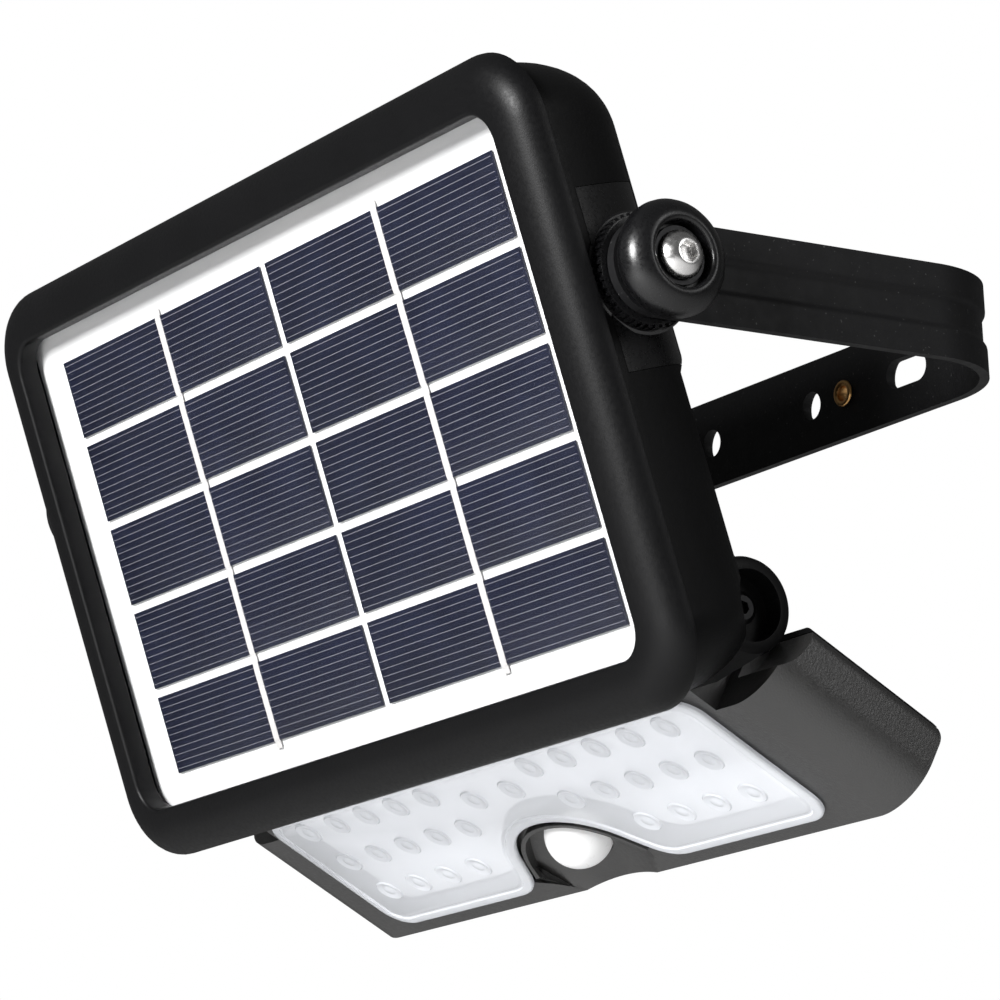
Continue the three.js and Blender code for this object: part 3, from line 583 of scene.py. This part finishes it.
def ribbon(x):
    """A flat copper ribbon soldered over the cells, dipping into the gaps between them."""
    reach = ((ROWS - 1) * ROW_PITCH + CELL[1]) / 2 + 1.8
    steps = 240
    left, right = x - RIBBON_WIDTH / 2, x + RIBBON_WIDTH / 2
    corners = [(left, high(-reach)), (right, high(-reach)), (right, high(reach)), (left, high(reach))]
    bm = outline(corners, "XZ", deep(-0.12))
    long_edges = [e for e in bm.edges if abs(e.verts[0].co.z - e.verts[1].co.z) > 1]
    bmesh.ops.subdivide_edges(bm, edges=long_edges, cuts=steps, use_grid_fill=True)
    thicken(bm, (0, 0.12, 0))
    for vert in bm.verts:
        phase = (vert.co.z - high(0)) / ROW_PITCH
        gap = abs(phase - round(phase)) * ROW_PITCH - CELL[1] / 2
        dip = min(max(gap + 0.7, 0) / 1.2, 1)
        vert.co.y += 0.2 * dip * dip + 0.015 * math.sin(vert.co.z * 1.7)
        vert.co.x += 0.08 * math.sin(vert.co.z * 0.11 + x)
    return bm


def housing_stations(back):
    """The rear housing's plan: straight sides at the seam that round in towards the back."""
    drop, pull, steps = 26, 13, 16
    stations = []
    for i in range(steps + 1):
        a = math.radians(90 * i / steps)
        depth = back - drop + drop * math.sin(a)
        shrink = pull * (1 - math.cos(a))
        if depth < HOUSING_FRONT:
            continue
        half_width, half_height = HOUSING_HALF[0] - shrink, HOUSING_HALF[1] - shrink
        corner = max(15 - shrink * 0.6, 6)
        stations.append((half_width, high(-half_height), high(half_height), corner, deep(depth)))
    first = stations[0]
    return [(*first[:4], deep(HOUSING_FRONT))] + stations


def side_profile(inset):
    """The housing seen from the side: deep at the top for the battery, stepped in below the pivot."""
    front = deep(HOUSING_FRONT) - 3
    back, lower = deep(HOUSING_BACK) - inset, deep(LOWER_BACK) - inset
    top, bottom = high(HOUSING_HALF[1]) - inset, high(-HOUSING_HALF[1]) + inset
    chin = [(deep(12) - inset, bottom), (lower, bottom + 1), (lower, high(-60) + inset)]
    brow = [(back, high(45) - inset / 2), (back - 1, top - 1), (front, top)]

    def curve(a, b, c, count=14):
        points = []
        for i in range(count + 1):
            t = i / count
            weights = ((1 - t) ** 2, 2 * t * (1 - t), t * t)
            points.append(tuple(sum(w * v for w, v in zip(weights, axis)) for axis in zip(a, b, c)))
        return points

    step = [(lower, high(-4) + inset / 2), (back, high(1.5) + inset / 2)]
    return [(front, bottom)] + curve(*chin) + step + curve(*brow)


def lug_web():
    """The web that joins a lug to the housing, seen from the side."""
    depth = HINGE_AT[0] - CELL_PLANE
    return [(deep(LOWER_BACK) - 2, high(-37)), (deep(LOWER_BACK) + 2.5, high(-39.5)),
            (deep(depth), high(-43.4)), (deep(depth), high(-64.4)),
            (deep(12), high(-67.5)), (deep(9), high(-50))]


def housing_skin():
    """The outside of the rear housing, with the lugs that carry the lamp and the scoop between them."""
    skin = keep(loft(housing_stations(HOUSING_BACK)), prism(side_profile(0), "YZ", -200, 200))
    centre = (0, *HINGE_AT)
    radius = BARREL_RADIUS + 0.7
    lug = turned([(80, 0), (80, radius), (LUG_OUTER - 1.5, radius), (LUG_OUTER - 0.45, radius - 0.45),
                  (LUG_OUTER, radius - 1.5), (LUG_OUTER, 0)], "X", centre, 96)
    web = prism(lug_web(), "YZ", 80, LUG_OUTER - 0.5)
    skin = join(skin, mirrored(lug), lug, mirrored(web), web)
    return cut(skin, rod(SCOOP_RADIUS, -LUG_INNER, LUG_INNER, "X", centre, 128))


INSERT = {"front": 4, "back": 23.4, "half": 19.7, "inner": 98}


def insert_zone(grow):
    return box(INSERT["inner"] - grow, 130, deep(INSERT["front"]) - grow, deep(INSERT["back"]) + grow,
               -INSERT["half"] - grow, INSERT["half"] + grow)


def make_housing():
    centre = (0, *HINGE_AT)
    skin = housing_skin()
    insert = keep(skin.copy(), insert_zone(0))
    low, top = high(-65), high(65)
    inner = keep(loft([(103, low, top, 12, deep(-3)), (100, low, top, 12, deep(HOUSING_BACK))]),
                 prism(side_profile(2.4), "YZ", -96, 96))
    inner = cut(inner, rod(SCOOP_RADIUS + 2.4, -96, 96, "X", centre, 64))
    housing = cut(skin, inner)
    housing = cut(housing, *both_sides(insert_zone(0.12)))
    flange = rod(13.5, 107.3, 130, "X", (0, 0, 0), 96)
    housing = cut(housing, *both_sides(flange))
    bore = rod(7.8, 95.2, 130, "X", centre, 72)
    housing = cut(housing, *both_sides(bore))
    for x, height, back in CASE_SCREWS:
        hole = rod(3.3, deep(back - 2.2), deep(back + 5), "Y", (x, 0, high(height)), 40)
        housing = cut(housing, *both_sides(hole))
    housing = cut(housing, rod(5.2, deep(15), deep(40), "Y", (BUTTON["x"], 0, high(BUTTON["height"])), 48))
    finish("housing_shell", housing, HEAD, [black_plastic], "panel_head", ["rear_housing"],
           edge=0.5)
    make_pivot_inserts(insert)


def make_pivot_inserts(blank):
    """Side inserts with the flared neck and the toothed flange that the arms clamp on."""
    neck = [(99, 0), (99, 9), (103, 9), (106.2, 10), (107.6, 12.7), (108.1, 13.2), (110.2, 13.2), (110.7, 12.7),
            (110.7, 11.9), (112.9, 11.7), (113.0, 11.4), (113.0, 0)]
    insert = join(blank, turned(neck, "X", (0, 0, 0), 96))
    insert = cut(insert, rod(3.3, 90, 130, "X", (0, 0, 0), 40))
    teeth = []
    count = 44
    for i in range(count):
        tooth = box(110.6, 112.9, -0.35, 0.35, 11.4, 12.3)
        turn = Matrix.Rotation(2 * math.pi * i / count, 3, "X")
        bmesh.ops.rotate(tooth, cent=(0, 0, 0), matrix=turn, verts=tooth.verts)
        teeth.append(tooth)
    teeth = merge(*teeth)
    sides = (("right", insert.copy(), teeth.copy()), ("left", mirrored(insert), mirrored(teeth)))
    for label, body, ring in sides:
        finish(f"side_insert_{label}", body, HEAD, [knob_plastic], "panel_head", [f"pivot_insert_{label}"],
               edge=0.25)
        finish(f"flange_teeth_{label}", ring, HEAD, [knob_plastic], "panel_head")


def make_knobs():
    inner = ARM_OUTER + 0.3
    profile = [(inner, 3.5), (inner, 8.0), (inner + 0.25, 8.6)]
    profile += [(inner + x, r) for x, r in ((1.2, 10.4), (2.1, 11.3), (3.2, 12.0), (4.3, 12.38), (5.4, 12.5),
                                           (6.6, 12.36), (7.7, 11.9), (8.7, 11.15), (9.5, 10.2), (10.05, 9.2),
                                           (10.3, 8.4), (10.28, 7.8), (10.0, 7.35), (9.5, 7.1), (6.9, 7.0),
                                           (6.9, 3.5), (0, 3.5))]
    knob = turned(profile, "X", (0, 0, 0), 128)
    floor = inner + 7.2
    washer = turned([(floor, 3.2), (floor, 6.25), (floor + 0.15, 6.4), (floor + 0.85, 6.4), (floor + 1, 6.25),
                     (floor + 1, 3.2), (floor, 3.2)], "X", (0, 0, 0), 72)
    seat = floor + 1.3
    head = [(seat + h, r) for h, r in ((0, 5.1), (0.12, 5.25), (0.5, 5.22), (1.1, 4.98), (1.7, 4.55), (2.2, 4.02),
                                      (2.6, 3.5), (2.9, 3.05), (3.06, 2.75), (3.1, 2.6), (3.1, 0))]
    screw = turned([(96, 0), (96, 2.95), (seat, 2.95)] + head, "X", (0, 0, 0), 96)
    socket = turned([(seat + 0.9, 0), (seat + 1.2, 2.28), (seat + 5, 2.28), (seat + 5, 0)], "X", (0, 0, 0), 6)
    screw = cut(screw, socket)
    # The knob washer's dark steel is painted shade standing in for the recess shadow round the screw head.
    for name, slot, body, material, edge in (("knob", "knob_plastic", knob, knob_plastic, 0),
                                             ("knob_washer", "steel", washer, dark_steel_painted_shade, 0),
                                             ("knob_screw", "steel", screw, steel, 0.12)):
        for label, piece in (("right", body.copy()), ("left", mirrored(body))):
            finish(f"{name}_piece_{label}", piece, HEAD, [material], "panel_head", [f"{name}_{label}"],
                   edge=edge)


# ---------- bracket ----------

def strap_surface():
    """The strap's outer face as one sheet: arm, bend, base, bend, arm."""
    front = PIVOT.y / MM - STRAP[0] / 2
    bend = (ARM_OUTER - BEND, STRAP_BACK - BEND)
    right = [(ARM_OUTER, front)] + arc(bend, BEND, 0, 90, 40)
    path = right + [(-x, y) for x, y in reversed(right)]
    bm = bmesh.new()
    verts = [bm.verts.new((x, y, -STRAP[0] / 2)) for x, y in path]
    edges = [bm.edges.new(pair) for pair in zip(verts, verts[1:])]
    bmesh.ops.subdivide_edges(bm, edges=[e for e in edges if e.calc_length() > 20], cuts=70)
    rows = 42
    ring = bm.edges[:]
    for _ in range(rows):
        made = bmesh.ops.extrude_edge_only(bm, edges=ring)["geom"]
        raised = [g for g in made if isinstance(g, bmesh.types.BMVert)]
        bmesh.ops.translate(bm, verts=raised, vec=(0, 0, STRAP[0] / rows))
        ring = [g for g in made if isinstance(g, bmesh.types.BMEdge)]
    return bm


def press_groove(bm):
    """Presses the long groove into the arms' outer faces, round the bend."""
    start = PIVOT.y / MM + 15
    half, soft, depth = 3.4, 0.9, 0.8
    for vert in bm.verts:
        x, y, z = vert.co
        if abs(x) < 96 or y < start - half:
            continue
        along = min(y - start, 0)
        reach = math.hypot(along, z)
        fade = min(max((half + soft - reach) / (2 * soft), 0), 1)
        fade *= min(max((abs(x) - 97) / 5, 0), 1)
        press_in = depth * fade * fade * (3 - 2 * fade)
        bend = Vector((math.copysign(ARM_OUTER - BEND, x), STRAP_BACK - BEND))
        outward = Vector((x, y)) - bend
        if y < bend.y:
            outward = Vector((math.copysign(1, x), 0))
        elif abs(x) < abs(bend.x):
            outward = Vector((0, 1))
        outward.normalize()
        vert.co.x -= outward.x * press_in
        vert.co.y -= outward.y * press_in


def wall_holes(y0, y1, radius):
    holes = [rod(radius, y0, y1, "Y", (x, 0, 0), 48) for x in (0, SIDE_HOLE_X, -SIDE_HOLE_X)]
    reach = SLOT_REACH + radius - HOLE_RADIUS
    for x in (SLOT_X, -SLOT_X):
        slot = [(x - reach, -radius), (x + reach, -radius), (x + reach, radius), (x - reach, radius)]
        holes.append(prism(slot, "XZ", y0, y1, corner=radius - 0.01, steps=14))
    return holes


def make_bracket():
    half = STRAP[0] / 2
    pivot_y = PIVOT.y / MM
    strap = strap_surface()
    press_groove(strap)
    bmesh.ops.recalc_face_normals(strap, faces=strap.faces)
    shell = shell_object(strap)
    solid = shell.modifiers.new("wall", "SOLIDIFY")
    solid.thickness = STRAP[1]
    solid.offset = -1
    graph = bpy.context.evaluated_depsgraph_get()
    mesh = bpy.data.meshes.new_from_object(shell.evaluated_get(graph))
    strap = bmesh.new()
    strap.from_mesh(mesh)
    bpy.data.objects.remove(shell)
    bmesh.ops.recalc_face_normals(strap, faces=strap.faces)
    capsule = join(box(-200, 200, pivot_y, 20, -half + 0.01, half - 0.01),
                   rod(half - 0.01, -200, 200, "X", (0, pivot_y, 0), 96))
    strap = keep(strap, capsule)
    strap = cut(strap, *wall_holes(-20, 10, HOLE_RADIUS))
    strap = cut(strap, rod(HOLE_RADIUS, -200, 200, "X", (0, pivot_y, 0), 48))
    strap = cut(strap, rod(2.5, -20, 10, "Y", (THREAD_INSERT_X, 0, 0), 40))
    finish("strap", strap, BRACKET, [powder_coat], "bracket", ["bracket_strap"],
           edge=0.35, angle=50)

    rear = PAD_HALF_LENGTH - 2.5
    plan = [(-PAD_HALF_LENGTH, -PAD_THICKNESS), (PAD_HALF_LENGTH, -PAD_THICKNESS), (rear, 0), (-rear, 0)]
    pad = prism(plan, "XY", -PAD_HALF_HEIGHT, PAD_HALF_HEIGHT)
    pad = cut(pad, *wall_holes(-5, 5, HOLE_RADIUS + 1.5))
    pad = cut(pad, rod(3.4, -5, 5, "Y", (THREAD_INSERT_X, 0, 0), 32))
    finish("pad", pad, BRACKET, [rubber], "bracket", ["wall_pad"], edge=0.2)

    front = STRAP_BACK - STRAP[1] - 0.3
    profile = [(front, 1.75), (front - 0.35, 1.85), (front - 0.55, 2.1), (front - 0.6, 2.5), (front - 0.5, 2.9),
               (front - 0.2, 3.1), (front, 3.1), (front, 2.2), (STRAP_BACK, 2.2), (STRAP_BACK, 1.7), (-3, 1.62),
               (front, 1.75)]
    ring = turned(profile, "Y", (THREAD_INSERT_X, 0, 0), 64)
    finish("brass_insert", ring, BRACKET, [brass], "bracket", ["thread_insert"])


# ---------- lamp head ----------

def bell_points(grow, low):
    """The bell-shaped edge over the motion sensor, from left to right."""
    apex = -26 + grow
    runs = [
        ((-33 - grow, low), (-26 - grow, low), (-24 - grow, -43 + grow), (-20.5 - grow, -37.5 + grow / 2)),
        ((-20.5 - grow, -37.5 + grow / 2), (-16.5 - grow, -30.5 + grow), (-9, apex), (0, apex)),
    ]
    left = []
    for start, first, second, end in runs:
        curve = interpolate_bezier(*[Vector((*p, 0)) for p in (start, first, second, end)], 14)
        left += [(p.x, p.y) for p in curve[:-1]]
    right = [(-x, z) for x, z in reversed(left)]
    return left + [(0, apex)] + right


def lens_outline(inset):
    """The lens: a rounded rectangle with the bell-shaped notch in its lower edge."""
    w, top, low = LENS_HALF - inset, LENS_TOP - inset, LENS_BOTTOM + inset
    r = 7 - inset / 2
    points = bell_points(inset, low)
    points += arc((w - r, low + r), r, -90, 0, 10)
    points += arc((w - r, top - r), r, 0, 90, 10)
    points += arc((-w + r, top - r), r, 90, 180, 10)
    points += arc((-w + r, low + r), r, 180, 270, 10)
    return points


def bell_outline(grow):
    side = 33 + grow
    return bell_points(grow, LENS_BOTTOM + grow) + [(side, LAMP_BOTTOM - 8), (-side, LAMP_BOTTOM - 8)]


def lamp_block(start, end):
    """The lamp body between two depths: big radii at its front corners, smaller ones behind."""
    plan = [(-LAMP_HALF, LAMP_FRONT), (LAMP_HALF, LAMP_FRONT), (LAMP_HALF, LAMP_BACK), (-LAMP_HALF, LAMP_BACK)]
    bm = outline(plan, "XY", LAMP_BOTTOM)
    round_corners(bm, LAMP_EDGE, 20, lambda co: co.y < LAMP_FRONT + 0.1)
    round_corners(bm, 4, 8, lambda co: co.y > LAMP_BACK - 0.1)
    body = thicken(bm, (0, 0, SHOULDER - LAMP_BOTTOM))
    ahead = LAMP_FRONT - 9
    side = [(ahead, LAMP_BOTTOM), (LAMP_BACK, LAMP_BOTTOM), (LAMP_BACK, SHOULDER), (ahead, SHOULDER)]
    body = keep(body, prism(side, "YZ", -200, 200, corner=5, steps=10, chosen=lambda co: co.y > 0))
    return keep(body, box(-200, 200, start, end, -100, 100))


def bowl(shift):
    """The shallow dish round the motion sensor."""
    bm = bmesh.new()
    bmesh.ops.create_uvsphere(bm, u_segments=128, v_segments=96, radius=BOWL_RADIUS)
    bmesh.ops.scale(bm, vec=(1.35, 1, 1), verts=bm.verts)
    bmesh.ops.translate(bm, vec=(0, LAMP_FRONT - 29 + shift, -40), verts=bm.verts)
    return bm


def make_lamp_front():
    body = lamp_block(-40, LAMP_SPLIT)
    shoulder = rod(SHOULDER_SCOOP, LUG_INNER - 0.4, 200, "X", (0, 0, 0), 128)
    body = cut(body, *both_sides(shoulder))
    neck = prism([(LAMP_FRONT, SHOULDER - 1), (LAMP_FRONT, -1.6)]
                 + arc((LAMP_FRONT + 1.6, -1.6), 1.6, 180, 110, 5)[1:]
                 + [(-9, 3.5), (0, 5), (LAMP_SPLIT, 0), (LAMP_SPLIT, SHOULDER - 1)],
                 "YZ", -NECK_HALF, NECK_HALF)
    body = join(body, neck, rod(BARREL_RADIUS, -90.6, 90.6, "X", (0, 0, 0), 128))
    body = cut(body, box(-100, 100, LAMP_FRONT + 2.5, 20, LAMP_BOTTOM + 2.4, -17))
    body = cut(body, prism(lens_outline(3.5), "XZ", -40, LAMP_FRONT + 3.5))
    dish = keep(bowl(0), prism(bell_outline(-2.3), "XZ", -40, 0))
    dish_wall = keep(bowl(2), prism(bell_outline(1.5), "XZ", LAMP_FRONT + 0.5, 0))
    dish_wall = keep(dish_wall, box(-34, 34, -40, 20, LAMP_BOTTOM + 0.5, -20))
    hood = prism(bell_outline(-1.3), "XZ", LAMP_FRONT - 1.2, LAMP_FRONT + 2)
    hood = keep(hood, box(-50, 50, -40, 0, -43, 0))
    moat = cut(prism(bell_outline(0.3), "XZ", -40, LAMP_FRONT + 1.6), prism(bell_outline(-1.3), "XZ", -41, 10))
    moat = keep(moat, box(-50, 50, -60, 20, -45, 0))
    body = join(body, dish_wall)
    body = cut(body, moat)
    body = cut(join(body, hood), dish)
    body = cut(body, rod(SENSOR_RADIUS + 0.3, -30, -8, "Y", (0, 0, SENSOR_Z), 72))
    finish("lamp_shell", body, LAMP, [lamp_plastic], "lamp_head", ["lamp_front"], edge=0.45)


def make_lamp_back():
    split = LAMP_SPLIT + 0.3
    back = lamp_block(split, 30)
    back = cut(back, rod(BARREL_RADIUS + 1.6, -200, 200, "X", (0, 0, 0), 96))
    back = cut(back, *both_sides(rod(SHOULDER_SCOOP, LUG_INNER - 0.4, 200, "X", (0, 0, 0), 96)))
    low, top = LAMP_BOTTOM + 5, -12
    stations = [(82, low, top, 6, split), (82, low, top, 6, LAMP_BACK + 2)]
    for i in range(1, 7):
        a = math.radians(15 * i)
        pull = 3.5 * (1 - math.cos(a))
        depth = LAMP_BACK + 2 + 3.5 * math.sin(a)
        stations.append((82 - pull, low + pull, top - pull, 6 - pull / 2, depth))
    back = join(back, loft(stations))
    finish("lamp_lid", back, LAMP, [black_plastic], "lamp_head", ["lamp_back"], edge=0.5)


def make_lens():
    """The clear lens: a stepped rim round a field with a moulded ring over every LED."""
    bm = outline(lens_outline(0), "XZ", LAMP_FRONT - 0.3)
    bm.faces.ensure_lookup_table()
    if bm.faces[0].normal.y > 0:
        bmesh.ops.reverse_faces(bm, faces=bm.faces)
    field = bm.faces[0]
    made = bmesh.ops.extrude_face_region(bm, geom=[field], use_keep_orig=True)["geom"]
    field = next(g for g in made if isinstance(g, bmesh.types.BMFace))
    bmesh.ops.translate(bm, verts=field.verts, vec=(0, -0.7, 0))
    steps = ((0.25, 0.35), (0.35, 0.15), (1.6, 0.0), (0.25, -0.35), (0.5, 0.0), (0.3, 0.2), (0.35, 0.15))
    for inset, rise in steps:
        bmesh.ops.inset_region(bm, faces=[field], thickness=inset, depth=0, use_even_offset=True)
        bmesh.ops.translate(bm, verts=field.verts, vec=(0, -rise, 0))
    bmesh.ops.recalc_face_normals(bm, faces=bm.faces)
    front = field.calc_center_median().y
    finish("lens", bm, LAMP, [lens_clear], "lamp_head", ["lens_cover"], angle=25)
    rings = []
    for x, z in led_places():
        rings.append(turned([(front + 0.2, 0), (front - 0.28, 0), (front - 0.34, 0.9), (front - 0.1, 1.35),
                             (front - 0.02, 2.0), (front - 0.3, 2.7), (front - 0.32, 3.2), (front + 0.05, 3.55),
                             (front + 0.2, 3.55), (front + 0.2, 0)], "Y", (x, 0, z), 28))
    finish("lens_rings", merge(*rings), LAMP, [lens_clear], "lamp_head")


def led_places():
    """The lowest row leaves out the column beside the sensor."""
    places = [(7.5, -13), (-7.5, -13)]
    for row, z in enumerate(LED_ROWS):
        for x in LED_COLUMNS[1 if row == 2 else 0:]:
            places += [(x, z), (-x, z)]
    return places


def make_led_board():
    front = LAMP_FRONT + 3.1
    board = prism(lens_outline(4.5), "XZ", front, front + 1.6)
    parts = [board]
    for x, z in led_places():
        chip = box(x - 1.6, x + 1.6, front - 0.7, front - 0.02, z - 1.6, z + 1.6)
        rim = [e for e in chip.edges if all(abs(v.co.y - front + 0.7) < 1e-4 for v in e.verts)]
        bmesh.ops.bevel(chip, geom=rim, offset=0.25, segments=2, affect="EDGES", profile=0.5, material=-1)
        parts.append(chip)
    for x, z in ((26.5, -27.4), (65.5, -38.7)):
        for side in (-1, 1):
            post = [(front, 0), (front, 2.1), (front - 1.2, 1.9), (front - 1.5, 1.2), (front - 1.5, 0)]
            parts.append(turned(post, "Y", (side * x, 0, z), 24))
    # The plate's finish carries a painted glow across board, chips and posts alike.
    finish("led_plate", merge(*parts), LAMP, [led_white], "lamp_head", ["led_board"])


def make_sensor():
    dome = bmesh.new()
    bmesh.ops.create_uvsphere(dome, u_segments=96, v_segments=64, radius=SENSOR_RADIUS)
    bmesh.ops.translate(dome, vec=(0, SENSOR_CENTRE, SENSOR_Z), verts=dome.verts)
    dome = keep(dome, box(-20, 20, -40, SENSOR_CENTRE, -80, 20))
    collar = rod(SENSOR_RADIUS, SENSOR_CENTRE - 0.01, SENSOR_CENTRE + 4, "Y", (0, 0, SENSOR_Z), 96)
    dome = join(dome, collar)
    finish("dome", dome, LAMP, [dome_painted_glow], "lamp_head", ["sensor_dome"])


# ---------- small hardware and the insides ----------

def make_screws():
    def pan(seat):
        return [(seat - 8, 0), (seat - 8, 1.4), (seat, 1.4), (seat, 2.8), (seat + 0.4, 2.75), (seat + 0.9, 2.45),
                (seat + 1.3, 1.9), (seat + 1.5, 1.2), (seat + 1.5, 0)]

    def cross(bm, seat, centre):
        for turn in (0, 1):
            a, b = (1.5, 0.28) if turn else (0.28, 1.5)
            bm = cut(bm, box(centre[0] - a, centre[0] + a, seat + 0.7, seat + 3, centre[2] - b, centre[2] + b))
        return bm
    for index, (x, height, back) in enumerate(CASE_SCREWS, 1):
        seat = deep(back - 1.85)
        screw = cross(turned(pan(seat), "Y", (x, 0, high(height)), 32), seat, (x, 0, high(height)))
        for label, body in (("right", screw.copy()), ("left", mirrored(screw))):
            finish(f"case_screw_{index}_{label}", body, HEAD, [steel], "panel_head",
                   [f"housing_screw_{index}_{label}"], edge=0.05)
    for index, (x, z) in enumerate(LID_SCREWS, 1):
        seat = LAMP_BACK + 0.3
        screw = cross(turned(pan(seat), "Y", (x, 0, z), 32), seat, (x, 0, z))
        for label, body in (("right", screw.copy()), ("left", mirrored(screw))):
            finish(f"lid_screw_{index}_{label}", body, LAMP, [steel], "lamp_head",
                   [f"lamp_screw_{index}_{label}"], edge=0.05)


def make_button():
    profile = [(deep(21.9), 0), (deep(21.9), 6.8), (deep(23.2), 6.8), (deep(23.2), 4.8), (deep(27.6), 4.8),
               (deep(28.1), 4.65), (deep(28.5), 4.2), (deep(28.75), 3.4), (deep(28.8), 2.4), (deep(28.5), 1.6),
               (deep(28.4), 0)]
    cap = turned(profile, "Y", (BUTTON["x"], 0, high(BUTTON["height"])), 64)
    finish("button_cap", cap, HEAD, [rubber], "button", ["mode_button"])


def dress_cad_nodes():
    """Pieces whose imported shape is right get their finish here."""
    finishes = {
        "battery_tray": white_plastic, "battery_cell_1": cell_sleeve, "battery_cell_2": cell_sleeve,
        "charge_board": board_green, "sensor_board": board_green, "sensor_can": steel,
        "pivot_nut_right": brass, "pivot_nut_left": brass,
        "hinge_screw_right": dark_steel_painted_shade, "hinge_screw_left": dark_steel_painted_shade,
        "hinge_washer_right": dark_steel_painted_shade, "hinge_washer_left": dark_steel_painted_shade,
    }
    for name, material in finishes.items():
        mesh = frame["nodes"][name].data
        mesh.materials.clear()
        mesh.materials.append(material)


# ---------- stage ----------

def make_stage():
    floor = bmesh.new()
    bmesh.ops.create_grid(floor, x_segments=1, y_segments=1, size=6)
    bmesh.ops.translate(floor, vec=(0, 0, -0.5), verts=floor.verts)
    mesh = bpy.data.meshes.new("floor")
    floor.to_mesh(mesh)
    floor.free()
    material, nodes, links, shader = surface("floor_paper")
    shader.inputs["Base Color"].default_value = (0.86, 0.86, 0.86, 1)
    shader.inputs["Roughness"].default_value = 0.8
    mesh.materials.append(material)
    obj = bpy.data.objects.new("floor", mesh)
    bpy.context.scene.collection.objects.link(obj)


def softbox(name, place, target, size, power):
    light = bpy.data.lights.new(name, "AREA")
    light.shape = "RECTANGLE"
    light.size, light.size_y = size
    light.energy = power
    obj = bpy.data.objects.new(name, light)
    obj.location = place
    obj.rotation_euler = (Vector(target) - Vector(place)).to_track_quat("-Z", "Y").to_euler()
    bpy.context.scene.collection.objects.link(obj)


def make_lights():
    centre = (0, -0.08, -0.04)
    softbox("key", (0.5, -1.6, 0.35), centre, (0.5, 0.5), 60)
    softbox("under", (0.62, -0.4, -1.25), centre, (0.45, 0.35), 92)
    softbox("side", (1.3, 0.5, 0.5), centre, (0.4, 0.8), 3)
    world = bpy.data.worlds.new("studio")
    bpy.context.scene.world = world
    world.use_nodes = True
    nodes, links = world.node_tree.nodes, world.node_tree.links
    seen = nodes["Background"]
    seen.inputs["Color"].default_value = (1, 1, 1, 1)
    lit = nodes.new("ShaderNodeBackground")
    lit.inputs["Color"].default_value = (1, 1, 1, 1)
    lit.inputs["Strength"].default_value = 0.1
    ray = nodes.new("ShaderNodeLightPath")
    mix = nodes.new("ShaderNodeMixShader")
    links.new(ray.outputs["Is Camera Ray"], mix.inputs["Fac"])
    links.new(lit.outputs["Background"], mix.inputs[1])
    links.new(seen.outputs["Background"], mix.inputs[2])
    links.new(mix.outputs["Shader"], nodes["World Output"].inputs["Surface"])
    bpy.context.scene.view_settings.view_transform = "Standard"


def make_camera():
    data = bpy.data.cameras.new("camera")
    data.sensor_width = 36
    data.lens = 159.6
    data.shift_x = -0.0059
    data.shift_y = 0.0191
    data.clip_start = 0.05
    camera = bpy.data.objects.new("camera", data)
    forward = Vector((-0.8012, 0.5536, 0.2272)).normalized()
    right = Vector((0.5596, 0.8277, -0.0429))
    up = right.cross(forward).normalized()
    right = forward.cross(up)
    turn = Matrix((right, up, -forward)).transposed()
    camera.matrix_world = Matrix.Translation((0.8134, -0.6263, -0.2619)) @ turn.to_4x4()
    bpy.context.scene.collection.objects.link(camera)
    bpy.context.scene.camera = camera


make_camera()
make_front_frame()
make_laminate()
make_cell_strings()
make_housing()
make_knobs()
make_bracket()
make_lamp_front()
make_lamp_back()
make_lens()
make_led_board()
make_sensor()
make_screws()
make_button()
dress_cad_nodes()
make_stage()
make_lights()
